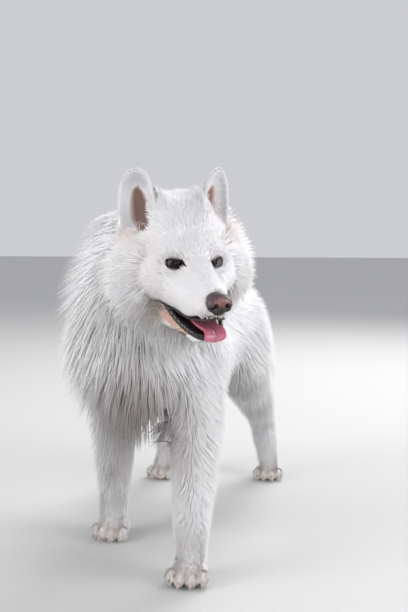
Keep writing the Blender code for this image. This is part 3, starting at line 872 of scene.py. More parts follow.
# %% Teeth
TEETH = (
    (0.0020, -0.0865, 0.0018),
    (0.0064, -0.0850, 0.0020),
    (0.0110, -0.0815, 0.0023),
    (0.0165, -0.0745, 0.0034),
)
crowns = []
for side in (-1, 1):
    for across, ahead, thick in TEETH:
        long = thick * 2.3
        low = Vector((across * side, ahead, -0.0695 - thick * 0.9))
        limb(low + Vector((0, 0, long)), low, thick, thick * 0.45, HEAD, into=crowns)
teeth = joined(crowns, "upper_teeth")
apply_modifier(teeth, "REMESH", mode="VOXEL", voxel_size=0.0006)
apply_modifier(teeth, "SMOOTH", factor=0.5, iterations=4)
teeth.data.shade_smooth()
print("teeth", len(teeth.data.polygons), "faces")

# %% [markdown]
# ## Nose
# The nose leather is blocked out like the head, only finer. The nostrils are pressed in as commas that open to the
# side, with the groove of the lip between them.

# %% Nose
NOSE_MIDDLE = Vector((0.001, -0.0950, -0.0410))
NOSE_HALF_WIDTH = 0.0212

lumps = []
mass(NOSE_MIDDLE, (NOSE_HALF_WIDTH, 0.0146, 0.0142), HEAD, radians(-12), lumps)
mass(NOSE_MIDDLE + Vector((0, 0.004, 0.0060)), (NOSE_HALF_WIDTH * 0.88, 0.0140, 0.0108), HEAD, into=lumps)
mass(NOSE_MIDDLE + Vector((0, 0.000, -0.0095)), (0.0120, 0.0122, 0.0105), HEAD, into=lumps)
for side in (-1, 1):
    mass(NOSE_MIDDLE + Vector((0.0108 * side, -0.0040, -0.0022)), (0.0100, 0.0098, 0.0118), HEAD, into=lumps)
nose_leather = joined(lumps, "nose_leather")
apply_modifier(nose_leather, "REMESH", mode="VOXEL", voxel_size=0.0008)
apply_modifier(nose_leather, "SMOOTH", factor=0.5, iterations=6)

near = local_points(vertex_array(nose_leather.data), HEAD @ Matrix.Translation(NOSE_MIDDLE))
across = np.abs(near[:, 0])
front = near[:, 1] < 0.001
hole = np.exp(-(((across - 0.0092) / 0.0034) ** 2) - ((near[:, 2] + 0.0020) / 0.0030) ** 2)
slit = np.exp(-(((across - 0.0150) / 0.0042) ** 2) - ((near[:, 2] + 0.0052 + 0.22 * (across - 0.0150)) / 0.0013) ** 2)
groove = np.exp(-((near[:, 0] / 0.0010) ** 2)) * smoothstep(0.004, -0.004, near[:, 2])
pressed = np.clip(hole * 1.15 + slit * 0.8, 0, 1)
near[:, 1] += front * (0.0072 * pressed + 0.0016 * groove)
set_vertices(nose_leather.data, world_points(near, HEAD @ Matrix.Translation(NOSE_MIDDLE)))
put_attribute(nose_leather.data, "nostril", pressed * front)
put_attribute(nose_leather.data, "height", near[:, 2])
put_attribute(nose_leather.data, "crease", groove)
from_middle = np.sqrt((near[:, 0] / 0.0185) ** 2 + ((near[:, 2] - 0.001) / 0.0135) ** 2)
border = np.maximum(smoothstep(0.62, 0.95, from_middle), smoothstep(-0.002, 0.006, near[:, 1]))
put_attribute(nose_leather.data, "border", border)
nose_leather.data.shade_smooth()
print("nose", len(nose_leather.data.polygons), "faces")

# %% [markdown]
# ## The lie of the coat
# Fur grows backwards from the nose, down the sides and the legs, and along the tail. A few dozen places on the dog
# are given the direction in which the fur lies there, and every lock takes a blend of the nearest ones.

# %% Guides for the lie of the coat
BODY_LIE = (
    ((0.00, -0.20, 0.60), (0.00, 1.00, -0.40)),
    ((0.00, -0.05, 0.56), (0.00, 1.00, -0.15)),
    ((0.00, 0.10, 0.53), (0.00, 1.00, -0.05)),
    ((0.00, 0.25, 0.53), (0.00, 0.90, -0.30)),
    ((0.00, 0.40, 0.46), (0.00, 0.35, -1.00)),
    ((0.15, 0.05, 0.42), (0.10, 0.75, -0.60)),
    ((0.14, 0.05, 0.33), (0.00, 0.65, -0.75)),
    ((0.15, -0.15, 0.42), (0.10, 0.45, -0.90)),
    ((0.00, 0.05, 0.27), (0.00, 0.85, -0.50)),
    ((0.00, -0.12, 0.25), (0.00, 0.50, -0.90)),
    ((0.00, -0.38, 0.42), (-0.05, 0.05, -1.00)),
    ((0.00, -0.32, 0.30), (0.00, 0.30, -1.00)),
    ((0.12, -0.30, 0.40), (0.10, 0.25, -1.00)),
    ((0.14, 0.22, 0.38), (0.05, 0.50, -0.85)),
    ((0.13, 0.25, 0.28), (0.00, 0.50, -0.85)),
    ((0.08, 0.38, 0.34), (0.05, 0.40, -0.95)),
    ((0.13, 0.37, 0.19), (0.00, 0.30, -1.00)),
    ((0.13, 0.35, 0.09), (0.00, 0.15, -1.00)),
)
LEFT_LIE = (
    ((0.13, -0.20, 0.52), (0.05, 0.55, -0.85)),
    ((0.095, -0.36, 0.15), (0.00, 0.10, -1.00)),
    ((0.130, -0.31, 0.15), (0.02, 0.18, -1.00)),
    ((0.095, -0.26, 0.15), (0.05, 0.50, -0.85)),
    ((0.095, -0.28, 0.25), (0.00, 0.40, -0.90)),
)
RIGHT_LIE = (
    ((-0.16, -0.27, 0.50), (-0.15, 0.35, -0.95)),
    ((-0.110, -0.19, 0.15), (0.00, 0.10, -1.00)),
    ((-0.140, -0.14, 0.15), (-0.02, 0.18, -1.00)),
    ((-0.110, -0.08, 0.15), (-0.05, 0.50, -0.85)),
    ((-0.110, -0.12, 0.25), (0.00, 0.40, -0.90)),
)
HEAD_LIE = (
    ((0.000, -0.070, -0.026), (0.00, 1.00, 0.25)),
    ((0.000, -0.030, -0.010), (0.00, 1.00, 0.35)),
    ((0.000, 0.010, 0.020), (0.00, 0.85, 0.50)),
    ((0.034, 0.008, 0.026), (0.30, 0.80, 0.55)),
    ((0.000, 0.050, 0.070), (0.00, 1.00, 0.25)),
    ((0.035, -0.040, -0.052), (0.12, 1.00, -0.15)),
    ((0.030, -0.080, -0.060), (0.25, 1.00, -0.20)),
    ((0.038, -0.010, -0.070), (0.12, 0.85, -0.45)),
    ((0.000, -0.060, -0.120), (0.00, 1.00, -0.25)),
    ((0.036, -0.030, -0.105), (0.15, 1.00, -0.40)),
    ((0.036, 0.004, -0.022), (0.35, 0.90, -0.12)),
    ((0.068, 0.020, 0.020), (0.45, 0.85, 0.12)),
    ((0.060, 0.020, -0.050), (0.45, 0.80, -0.40)),
    ((0.090, 0.040, -0.030), (0.60, 0.70, -0.40)),
    ((0.075, 0.040, -0.090), (0.40, 0.55, -0.80)),
    ((0.000, 0.030, -0.140), (0.00, 0.40, -0.95)),
    ((0.080, 0.120, 0.040), (0.35, 1.00, -0.20)),
    ((0.110, 0.110, -0.040), (0.40, 0.70, -0.70)),
    ((0.000, 0.140, 0.040), (0.00, 1.00, -0.45)),
)
PAW_LIE = (((0.0, -0.030, 0.030), (0.0, -1.0, -0.55)), ((0.0, 0.030, 0.030), (0.0, 0.2, -1.0)))
TAIL_DROOP = Vector((0, 0, -0.45))


def guide_rows(rows, frame_of, both=False):
    """Place and direction of each guide, in the room. Both gives each one a twin on the other side."""
    turn = frame_of.to_3x3()
    for at, lie in rows:
        yield frame_of @ Vector(at), (turn @ Vector(lie)).normalized()
        if both and abs(at[0]) > 1e-6:
            yield frame_of @ mirrored(at, -1), (turn @ mirrored(lie, -1)).normalized()


def guide_arrays(*sources):
    rows = [row for source in sources for row in source]
    return np.array([at for at, lie in rows]), np.array([lie for at, lie in rows])


body_guides = guide_arrays(
    guide_rows(BODY_LIE, BODY, True),
    guide_rows(LEFT_LIE, BODY),
    guide_rows(RIGHT_LIE, BODY),
    guide_rows(HEAD_LIE, HEAD, True),
    *(guide_rows(PAW_LIE, paw_frame(name)) for name in PAWS),
)
tail_rows = []
for start, end in zip(TAIL_LINE, TAIL_LINE[1:]):
    tail_rows.append((BODY @ start, (end - start + TAIL_DROOP * 0.05).normalized()))
tail_guides = guide_arrays(tail_rows)
print("guides", len(body_guides[0]), "on the body,", len(tail_rows), "on the tail")

# %% [markdown]
# ## Combing
# Every lock asks for the lie of the coat at its own place. Near guides count most, the fur parts round each eye, and
# a slow swing keeps the coat from looking combed by a machine.

# %% Combing
GUIDE_BLUR = 0.02
AT_A_TIME = 20000
EYE_FUR_FAR = 0.027
EYE_FUR_NEAR = 0.016
WAVES_PER_METRE = 31


def combed(points, normals, guides, wander=0.0):
    """The lie of the coat at each point, along the surface. Wander turns it a little in slow waves."""
    places, lies = guides
    out = np.empty_like(points)
    for start in range(0, len(points), AT_A_TIME):
        part = slice(start, start + AT_A_TIME)
        gap = ((points[part, None] - places[None]) ** 2).sum(-1)
        out[part] = (1 / (gap + GUIDE_BLUR**2) ** 2) @ lies
    out = unit(out)
    for side in (-1, 1):
        away = points - np.array(eye_frame(side).translation)
        gap = np.linalg.norm(away, axis=1, keepdims=True)
        out = out + unit(away) * smoothstep(EYE_FUR_FAR, EYE_FUR_NEAR, gap)
    out = unit(out - (out * normals).sum(-1, keepdims=True) * normals)
    x, y, z = (points * WAVES_PER_METRE).T
    swing = wander * (np.sin(x + 1.7 * np.sin(y)) + np.sin(1.3 * y + 1.1 * z) + np.sin(1.9 * z - 0.8 * x)) / 1.8
    side = np.cross(normals, out)
    return unit(out * np.cos(swing)[:, None] + side * np.sin(swing)[:, None])


# %% [markdown]
# ## Where locks start and end
# Most of the coat is planned from the outside in. Tips are scattered over the outline, and each one is traced back
# along the lie of the coat to the place on the skin where its lock is rooted. That way the coat is exactly as deep as
# the outline says.

# %% Scattering and measuring
def nearest(tree, points):
    """For each point, the nearest one on a surface, its normal, its face and how far off it is."""
    found = [tree.find_nearest(point) for point in points.tolist()]
    at = np.array([hit[0] for hit in found])
    normal = np.array([hit[1] for hit in found])
    return at, normal, np.array([hit[2] for hit in found]), np.array([hit[3] for hit in found])


def scattered(obj, chance_of, draw):
    """Points over a surface. chance_of gives how many to expect per square metre at a place."""
    points, normals = vertex_array(obj.data), normal_array(obj.data)
    corners = triangle_array(obj.data)
    a, b, c = (points[corners[:, k]] for k in range(3))
    area = np.linalg.norm(np.cross(b - a, c - a), axis=1) / 2
    wanted = area * chance_of((a + b + c) / 3, unit(normals[corners].sum(1)))
    count = np.floor(wanted + draw.random_sample(len(wanted))).astype(int)
    face = np.repeat(np.arange(len(wanted)), count)
    r, s = draw.random_sample((2, len(face)))
    r = np.sqrt(r)
    weights = np.stack([1 - r, r * (1 - s), r * s], 1)[:, :, None]
    at = (points[corners[face]] * weights).sum(1)
    return at, unit((normals[corners[face]] * weights).sum(1))


skin_tree = tree_of(skin)
outline_tree = tree_of(body_outline)
tail_tree = tree_of(tail_outline)
skin_corners = triangle_array(skin.data)
skin_normals = normal_array(skin.data)


def skin_normal_at(faces):
    return unit(skin_normals[skin_corners[faces]].sum(1))


def nodes_tree(names):
    """One tree over several of the frame's solids."""
    corners, faces, start = [], [], 0
    for name in names:
        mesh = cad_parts[name].data
        corners.append(vertex_array(mesh))
        faces.append(triangle_array(mesh) + start)
        start += len(mesh.vertices)
    return BVHTree.FromPolygons(np.vstack(corners).tolist(), np.vstack(faces).tolist())


print("to measure against", len(skin_corners), "faces of skin")

# %% [markdown]
# ## Trunk or leg
# The hair of the flank hangs down beside the leg but grows from the trunk. So each tip is first told apart by the
# solid it is nearest to, and a trunk lock is only rooted above the height where the legs begin.

# %% Trunk or leg
CORE_ABOVE = 0.272
legs_tree = nodes_tree(BODY_NODES[4:])
rest_tree = nodes_tree(BODY_NODES[:4])
skin_places = vertex_array(skin.data)
core_faces = np.nonzero(local_points(skin_places, BODY)[:, 2][skin_corners].min(1) > CORE_ABOVE)[0]
core_tree = BVHTree.FromPolygons(skin_places.tolist(), skin_corners[core_faces].tolist())


def on_leg(points):
    """Whether each tip belongs to a leg. If not, its lock is rooted on the trunk and never on a leg."""
    return nearest(legs_tree, points)[3] < nearest(rest_tree, points)[3]


def nearest_bare(points, leg):
    """Nearest place on bare skin, the face it lies on and how far off it is."""
    at, ignored, face, gap = nearest(skin_tree, points)
    core_at, ignored, core_face, core_gap = nearest(core_tree, points)
    return (
        np.where(leg[:, None], at, core_at),
        np.where(leg, face, core_faces[core_face]),
        np.where(leg, gap, core_gap),
    )


# %% [markdown]
# ## One lock
# A lock is a thin, closed blade with three sides: a flat underside and a low ridge on top. It grows out of the skin
# at a slant, bends over and comes to a point. Tens of thousands of them are far too many for operators, so all locks
# of a piece are made at once from arrays.

# %% Building locks
LONG_RINGS = ((0.0, 0.36, 0.72), (0.80, 1.00, 0.62))
SHORT_RINGS = ((0.0, 0.55), (0.85, 1.00))
ROOT_SUNK = 0.0010


def lock_arrays(root, bend, tip, up, wide, thick, rings):
    """Vertices and triangles of closed three-sided blades on bent lines."""
    stops, widths = rings
    number = len(stops)
    along = np.array([*stops, 1.0])[None, :, None]
    line = root[:, None] * (1 - along) ** 2 + 2 * bend[:, None] * along * (1 - along) + tip[:, None] * along**2
    ahead = unit(np.gradient(line, axis=1))
    side = unit(np.cross(ahead, up[:, None]))
    lift = np.cross(side, ahead)
    half = (wide[:, None] * np.array(widths) / 2)[:, :, None]
    high = (thick[:, None] * np.array(widths))[:, :, None]
    core, across, over = line[:, :number], side[:, :number], lift[:, :number]
    around = np.stack([core - across * half, core + over * high, core + across * half], 2)
    count = len(root)
    vertices = np.concatenate([around.reshape(count, number * 3, 3), tip[:, None]], 1)
    faces = [(0, 2, 1)]
    for ring in range(0, number * 3 - 3, 3):
        for k in range(3):
            a, b = ring + k, ring + (k + 1) % 3
            faces += [(a, b, a + 3), (b, b + 3, a + 3)]
    last = number * 3 - 3
    faces += [(last + k, last + (k + 1) % 3, last + 3) for k in range(3)]
    step = (np.arange(count) * (number * 3 + 1))[:, None, None]
    return vertices.reshape(-1, 3), (np.array(faces)[None] + step).reshape(-1, 3)


def mesh_of(name, vertices, faces):
    """An object from arrays of vertices and triangles."""
    mesh = bpy.data.meshes.new(name)
    mesh.vertices.add(len(vertices))
    mesh.vertices.foreach_set("co", vertices.ravel())
    mesh.loops.add(len(faces) * 3)
    mesh.loops.foreach_set("vertex_index", faces.ravel())
    mesh.polygons.add(len(faces))
    mesh.polygons.foreach_set("loop_start", np.arange(len(faces)) * 3)
    mesh.update(calc_edges=True)
    mesh.shade_smooth()
    obj = bpy.data.objects.new(name, mesh)
    scene.collection.objects.link(obj)
    return obj


# %% [markdown]
# ## A map for baking
# A coarse copy of the skin is unwrapped, piece by piece, and every lock gets a tiny patch of that map at the place
# where it is rooted. Its colours can then be baked as if they were painted on the skin.

# %% Coarse skin for the map
MAP_TRIANGLES = 9000
LOCK_PATCH = 0.003

coarse = skin.copy()
coarse.data = skin.data.copy()
scene.collection.objects.link(coarse)
apply_modifier(coarse, "DECIMATE", ratio=MAP_TRIANGLES / len(coarse.data.polygons))
coarse_points = vertex_array(coarse.data)
coarse_corners = triangle_array(coarse.data)
coarse_tree = tree_of(coarse)
print("coarse skin", len(coarse_corners), "faces")


def root_places(roots):
    """Each root's place on an unwrap of the coarse faces that the roots of this piece stand on."""
    at, ignored, face, ignored = nearest(coarse_tree, roots)
    used, row = np.unique(face, return_inverse=True)
    corners, kept = np.unique(coarse_corners[used], return_inverse=True)
    patch = mesh_of("unwrap", coarse_points[corners], kept.reshape(-1, 3))
    select_only(patch)
    bpy.ops.object.mode_set(mode="EDIT")
    bpy.ops.mesh.select_all(action="SELECT")
    bpy.ops.uv.smart_project(angle_limit=radians(66), island_margin=0.004)
    bpy.ops.object.mode_set(mode="OBJECT")
    flat = np.empty(len(used) * 6)
    patch.data.uv_layers.active.data.foreach_get("uv", flat)
    spots = flat.reshape(-1, 3, 2)[row]
    a, b, c = (coarse_points[coarse_corners[face]][:, k] for k in range(3))
    whole = np.cross(b - a, c - a)
    size = np.maximum((whole**2).sum(1), 1e-18)
    second = (np.cross(at - a, c - a) * whole).sum(1) / size
    third = (np.cross(b - a, at - a) * whole).sum(1) / size
    weights = np.stack([1 - second - third, second, third], 1)
    bpy.data.objects.remove(patch)
    return (spots * weights[:, :, None]).sum(1)


# %% [markdown]
# ## Coat pieces
# Locks are gathered region by region, and each region becomes a piece of its own that stays below a fixed number of
# triangles. Real hairs are far finer than a lock and scatter the light between them. So the normals of a lock are
# turned towards those of the coat as a whole, which shades it softly.

# %% Growing one piece
SOFT_SHADING = 0.84
LOCK_SLACK = 0.25
LOCK_RISE = 0.55
LONG_TINT = 0.35
MOST_LONG = 12200
MOST_SHORT = 19500

coat = []


def grow(name, root, normal, tip, lie, out, wide, thick, rings, soft):
    """Locks from roots to tips, as one joined piece with its attributes and its map."""
    reach = tip - root
    up = (reach * normal).sum(1, keepdims=True)
    run = np.linalg.norm(reach - up * normal, axis=1, keepdims=True)
    bend = root + normal * up * LOCK_RISE + lie * run * LOCK_SLACK
    vertices, faces = lock_arrays(root - normal * ROOT_SUNK, bend, tip, normal, wide, thick, rings)
    piece = mesh_of(name, vertices, faces)
    count = len(root)
    along = np.append(np.repeat(rings[0], 3), 1.0)
    across = np.append(np.tile([0.0, 0.5, 1.0], len(rings[0])), 0.5)
    put_attribute(piece.data, "along", np.tile(along, count))
    tint = np.random.RandomState(len(name)).random_sample(count) * (LONG_TINT if rings is LONG_RINGS else 1.0)
    put_attribute(piece.data, "lock", np.repeat(tint, len(along)))
    for mark, values in markings(root * 0.4 + tip * 0.6).items():
        put_attribute(piece.data, mark, np.repeat(values, len(along)))
    shading = np.repeat(out, len(along), axis=0) * soft + normal_array(piece.data) * (1 - soft)
    piece.data.normals_split_custom_set_from_vertices(unit(shading).tolist())
    own = np.stack([across, along], 1)[None] * LOCK_PATCH - LOCK_PATCH / 2
    at_vertex = (np.clip(root_places(root), 0.002, 0.998)[:, None] + own).reshape(-1, 2)
    layer = piece.data.uv_layers.new(name="OFBake")
    layer.data.foreach_set("uv", at_vertex[faces.ravel()].ravel())
    coat.append(piece)
    print(name, count, "locks", len(faces), "triangles")


def grow_all(name, rows, rings=LONG_RINGS, soft=SOFT_SHADING):
    """One region as pieces of equal size, cut from front to back."""
    most = MOST_LONG if rings is LONG_RINGS else MOST_SHORT
    ranked = np.argsort(rows[0][:, 1])
    for k, part in enumerate(np.array_split(ranked, int(np.ceil(len(ranked) / most)))):
        grow(f"{name}_{k + 1}", *(values[part] for values in rows), rings=rings, soft=soft)


# %% [markdown]
# ## Locks that end on the outline
# Hair that grows close together hangs together, so the tips are drawn into clumps, most of all on the chest, where a
# Samoyed's coat parts. Some locks end below the outline and fill the coat, and a few wisps stand out of it. A lock
# that would run against the lie or through the body is left out.

# %% Locks that end on the outline
def clumped(tips, share, pull, draw):
    """Tips drawn towards the middle of their clump, and how far each stands from that middle."""
    chosen = draw.choice(len(tips), max(1, int(len(tips) * share)), replace=False)
    tree = KDTree(len(chosen))
    for k, index in enumerate(chosen):
        tree.insert(tips[index], k)
    tree.balance()
    found = [tree.find(tip) for tip in tips.tolist()]
    middle = np.array([hit[0] for hit in found])
    gap = np.array([hit[2] for hit in found])
    strength = (pull * (0.6 + 0.8 * draw.random_sample(len(tips))))[:, None]
    return tips + (middle - tips) * strength, gap / max(np.mean(gap), 1e-6)


def parted(points):
    """1 on the front of the chest, where the coat parts into hanging locks, 0 where it is one soft cover."""
    near = local_points(points, BODY)
    high = smoothstep(0.52, 0.46, near[:, 2])
    return smoothstep(-0.22, -0.28, near[:, 1]) * high * smoothstep(0.24, 0.28, near[:, 2])


WANDER = 0.10
CLUMP_SHARE = 0.10
WISP_SHARE = 0.05


def long_locks(shell, tree, guides, chance_of, draw, runs, under, pulls):
    """Roots, tips and the rest for locks that end on an outline."""
    tips, out = scattered(shell, chance_of, draw)
    lie = combed(tips, out, guides, WANDER)
    leg = on_leg(tips)
    base, ignored, depth = nearest_bare(tips, leg)
    stretch = runs[0] + (runs[1] - runs[0]) * draw.random_sample(len(tips))
    root, face, ignored = nearest_bare(tips - lie * (depth * stretch)[:, None] - out * (0.7 * depth)[:, None], leg)
    loose = parted(tips)
    tips, edge = clumped(tips, CLUMP_SHARE, pulls[0] + (pulls[1] - pulls[0]) * loose, draw)
    on_shell, out, ignored, ignored = nearest(tree, tips)
    full = 1.01 - 0.06 * draw.random_sample(len(tips)) - 0.06 * loose * np.minimum(edge, 2)
    deep = 0.68 + 0.25 * draw.random_sample(len(tips))
    fill = np.where(draw.random_sample(len(tips)) < under, deep, full)
    wisp = draw.random_sample(len(tips)) < WISP_SHARE
    fill = np.where(wisp, 1.02 + 0.07 * draw.random_sample(len(tips)), fill)
    reach = on_shell - root
    length = np.linalg.norm(reach, axis=1)
    normal = skin_normal_at(face)
    sound = (reach * lie).sum(1) > 0.25 * length
    sound &= (reach * out).sum(1) > 0.10 * length
    sound &= (reach * normal).sum(1) > 0.05 * length
    sound &= length < 2.6 * depth + 0.02
    sound &= draw.random_sample(len(root)) < keep_clear(root, normal)
    tips = root + reach * fill[:, None]
    return root[sound], normal[sound], tips[sound], lie[sound], out[sound]


# %% [markdown]
# ## Markings
# A white dog is not all one white. There is cream at the ears and between the toes, and fine dark hair round the nose.
# A grey brown lies under the chest, on the legs, at the corner of the mouth and under the jaw: partly dirt and
# partly painted shade where the coat lies in shadow. The places are worked out once, as numbers from 0 to 1, and both
# the skin and the coat carry them, so that they agree.

# %% Where the markings are
# Grey brown patches on the body: partly dirt, partly painted shade under the chest, under the belly and on the legs.
DIRT_AND_SHADE_PATCHES = (
    ((0.000, -0.355, 0.285), 0.086, 1.00),
    ((-0.065, -0.315, 0.255), 0.088, 1.00),
    ((0.010, -0.385, 0.360), 0.065, 0.50),
    ((0.110, -0.350, 0.385), 0.045, 0.30),
    ((-0.070, -0.250, 0.190), 0.050, 0.70),
    ((0.030, -0.310, 0.240), 0.062, 0.85),
    ((-0.090, -0.235, 0.215), 0.062, 0.85),
    ((0.000, -0.150, 0.215), 0.110, 0.90),
    ((0.000, 0.080, 0.240), 0.120, 0.55),
    ((-0.100, -0.190, 0.140), 0.026, 0.75),
    ((-0.095, -0.090, 0.180), 0.050, 0.45),
    ((0.085, -0.250, 0.190), 0.045, 0.40),
    ((0.120, 0.300, 0.200), 0.045, 0.45),
    ((-0.120, 0.260, 0.200), 0.045, 0.45),
    ((0.105, 0.190, 0.260), 0.060, 0.30),
)
# Grey brown on the head: painted shade in the fold behind the corner of the mouth and under the jaw, with some
# staining.
DIRT_AND_SHADE_HEAD = (
    ((0.055, 0.042, -0.060), 0.021, 0.85),
    ((0.069, 0.032, -0.051), 0.015, 0.60),
    ((0.060, 0.031, -0.072), 0.018, 0.80),
    ((0.049, 0.030, -0.086), 0.018, 0.70),
    ((0.018, 0.030, -0.124), 0.030, 0.65),
    ((0.052, 0.050, -0.078), 0.020, 0.50),
    ((0.050, 0.058, -0.105), 0.035, 0.50),
    ((0.000, 0.030, -0.125), 0.042, 0.60),
)
CREAM_HEAD = (
    ((0.094, 0.066, 0.046), 0.020, 0.50),
    ((0.052, 0.030, -0.086), 0.020, 0.55),
    ((0.030, -0.012, 0.010), 0.018, 0.10),
    ((0.058, 0.040, 0.020), 0.022, 0.13),
    ((0.066, 0.030, -0.030), 0.026, 0.12),
)
DARK_HEAD = (
    ((0.017, -0.086, -0.062), 0.0110, 0.75),
    ((0.026, -0.068, -0.068), 0.0090, 0.35),
    ((0.016, -0.080, -0.036), 0.0050, 0.30),
)
PAW_CREAM = 0.17
CRACK_CREAM = 0.55


def spots(points, rows, frame_of, both=True):
    """The strongest of a set of soft round patches at each point."""
    near = local_points(points, frame_of)
    if both:
        near[:, 0] = np.abs(near[:, 0])
    most = np.zeros(len(points))
    for at, radius, strength in rows:
        gap = np.linalg.norm(near - np.array(at), axis=1)
        most = np.maximum(most, strength * np.exp(-((gap / radius) ** 2)))
    return most


def toe_cracks(points):
    """1 between the toes, 0 on top of them."""
    most = np.zeros(len(points))
    for name in PAWS:
        near = local_points(points, paw_frame(name))
        for gap in (-0.0200, 0.0, 0.0200):
            line = np.exp(-(((near[:, 0] - gap) / 0.0032) ** 2)) * smoothstep(0.004, -0.016, near[:, 1])
            most = np.maximum(most, line * (near[:, 2] < 0.036) * (np.abs(near[:, 1]) < 0.08))
    return most


def foot_tint(points):
    """A little cream on every paw, strongest low down."""
    return PAW_CREAM * smoothstep(0.055, 0.012, local_points(points, BODY)[:, 2])


def markings(points):
    """The strength of each marking at each point."""
    # Grey brown of dirt together with painted shade, on the body and on the head.
    dirt_and_shade = np.maximum(spots(points, DIRT_AND_SHADE_PATCHES, BODY, False), spots(points, DIRT_AND_SHADE_HEAD, HEAD))
    cream = np.maximum(spots(points, CREAM_HEAD, HEAD), CRACK_CREAM * toe_cracks(points))
    return {
        "dirt_and_shade": dirt_and_shade,
        "cream": np.maximum(cream, foot_tint(points)),
        "dark": spots(points, DARK_HEAD, HEAD),
    }


print("markings", len(DIRT_AND_SHADE_PATCHES) + len(DIRT_AND_SHADE_HEAD), "of smoke,", len(CREAM_HEAD), "of cream")


# %% [markdown]
# ## Small tools for materials
# Most finishes need the same few nodes: a number from the mesh, noise, a range, a mix and a bump. Each gets a short
# function that adds the node and gives back its output.

# %% Node helpers
def material(name):
    """A new material, its node tree and its shader."""
    made = bpy.data.materials.new(name)
    made.use_nodes = True
    return made, made.node_tree, made.node_tree.nodes["Principled BSDF"]


def attribute(tree, name):
    node = tree.nodes.new("ShaderNodeAttribute")
    node.attribute_name = name
    return node.outputs["Fac"]


def mixed(tree, factor, first, second, blend="MIX"):
    node = tree.nodes.new("ShaderNodeMix")
    node.data_type = "RGBA"
    node.blend_type = blend
    for socket, value in ((node.inputs[0], factor), (node.inputs[6], first), (node.inputs[7], second)):
        if isinstance(value, bpy.types.NodeSocket):
            tree.links.new(value, socket)
        else:
            socket.default_value = value
    return node.outputs[2]


def ranged(tree, value, low, high, to_low=0.0, to_high=1.0):
    node = tree.nodes.new("ShaderNodeMapRange")
    tree.links.new(value, node.inputs["Value"])
    for name, number in (("From Min", low), ("From Max", high), ("To Min", to_low), ("To Max", to_high)):
        node.inputs[name].default_value = number
    return node.outputs["Result"]


def placed(tree, node):
    """A texture node that follows the object's own coordinates."""
    tree.links.new(tree.nodes.new("ShaderNodeTexCoord").outputs["Object"], node.inputs["Vector"])
    return node


def noise(tree, scale, detail=2.0):
    node = placed(tree, tree.nodes.new("ShaderNodeTexNoise"))
    node.inputs["Scale"].default_value = scale
    node.inputs["Detail"].default_value = detail
    return node.outputs["Fac"]


def product(tree, first, second):
    node = tree.nodes.new("ShaderNodeMath")
    node.operation = "MULTIPLY"
    tree.links.new(first, node.inputs[0])
    tree.links.new(second, node.inputs[1])
    return node.outputs["Value"]


def bumped(tree, height, strength, distance):
    node = tree.nodes.new("ShaderNodeBump")
    node.inputs["Strength"].default_value = strength
    node.inputs["Distance"].default_value = distance
    tree.links.new(height, node.inputs["Height"])
    return node.outputs["Normal"]


# %% [markdown]
# ## Coat colour as a group
# Skin and locks use the same node group for their colour. It takes the markings as inputs and adds slow, uneven
# warmth, because a clean coat still has yellowish and bluish parts. The fine dark hair round the nose is a stipple.

# %% Coat colour group
WHITE = (0.880, 0.872, 0.893, 1)
WARM = (0.82, 0.79, 0.77, 1)
CREAM = (0.66, 0.45, 0.29, 1)
# Grey brown for dirt and for painted shade under the chest, on the legs, at the mouth and under the jaw.
DIRT_AND_SHADE = (0.200, 0.165, 0.140, 1)
DARK_HAIR = (0.16, 0.14, 0.15, 1)

coat_group = bpy.data.node_groups.new("coat_colour", "ShaderNodeTree")
for name in ("Cream", "Dirt_and_shade", "Dark"):
    coat_group.interface.new_socket(name, in_out="INPUT", socket_type="NodeSocketFloat")
coat_group.interface.new_socket("Color", in_out="OUTPUT", socket_type="NodeSocketColor")
group_in = coat_group.nodes.new("NodeGroupInput")
group_out = coat_group.nodes.new("NodeGroupOutput")
patches = ranged(coat_group, noise(coat_group, 9.0, 3.0), 0.42, 0.68, 0.0, 0.35)
color = mixed(coat_group, patches, WHITE, WARM)
color = mixed(coat_group, group_in.outputs["Cream"], color, CREAM)
# Lays on the grey brown of dirt and painted shade.
color = mixed(coat_group, group_in.outputs["Dirt_and_shade"], color, DIRT_AND_SHADE)
stipple = ranged(coat_group, noise(coat_group, 520.0, 1.0), 0.44, 0.58, 0.25, 1.0)
color = mixed(coat_group, product(coat_group, stipple, group_in.outputs["Dark"]), color, DARK_HAIR)
coat_group.links.new(color, group_out.inputs["Color"])
print("coat colour group", len(coat_group.nodes), "nodes")


def coat_color(tree):
    node = tree.nodes.new("ShaderNodeGroup")
    node.node_tree = coat_group
    for name in ("Cream", "Dirt_and_shade", "Dark"):
        tree.links.new(attribute(tree, name.lower()), node.inputs[name])
    return node.outputs["Color"]


# %% [markdown]
# ## Hair of the coat
# Each lock is a little darker at its root than at its tip, and no two locks are quite the same white. Both come from
# numbers on the mesh, so they stay on their lock in every view. A weak sheen stands for light caught by fine hairs.

# %% Hair of the coat
ROOT_SHADE = 0.95
LOCK_VARIETY = 0.20
GREYER_LOCK = (0.60, 0.57, 0.55, 1)

hair, tree, shader = material("samoyed_hair")
color = coat_color(tree)
shade = ranged(tree, attribute(tree, "along"), 0.0, 0.75, ROOT_SHADE, 1.0)
shade_color = mixed(tree, shade, (0.0, 0.0, 0.0, 1), (1, 1, 1, 1))
color = mixed(tree, 1.0, color, shade_color, "MULTIPLY")
vary = ranged(tree, attribute(tree, "lock"), 0.0, 1.0, 0.0, LOCK_VARIETY)
color = mixed(tree, vary, color, GREYER_LOCK)
tree.links.new(color, shader.inputs["Base Color"])
shader.inputs["Roughness"].default_value = 0.85
shader.inputs["Specular IOR Level"].default_value = 0.15
shader.inputs["Sheen Weight"].default_value = 0.25
shader.inputs["Sheen Roughness"].default_value = 0.45
print(hair.name, len(tree.nodes), "nodes")

# %% [markdown]
# ## Bare skin
# The same skin is furry, bare, black or wet in different places. Each place is a number on its vertices: pink under
# the lip and in the ears, black along the lips and round the eyes, and wet red inside the mouth.

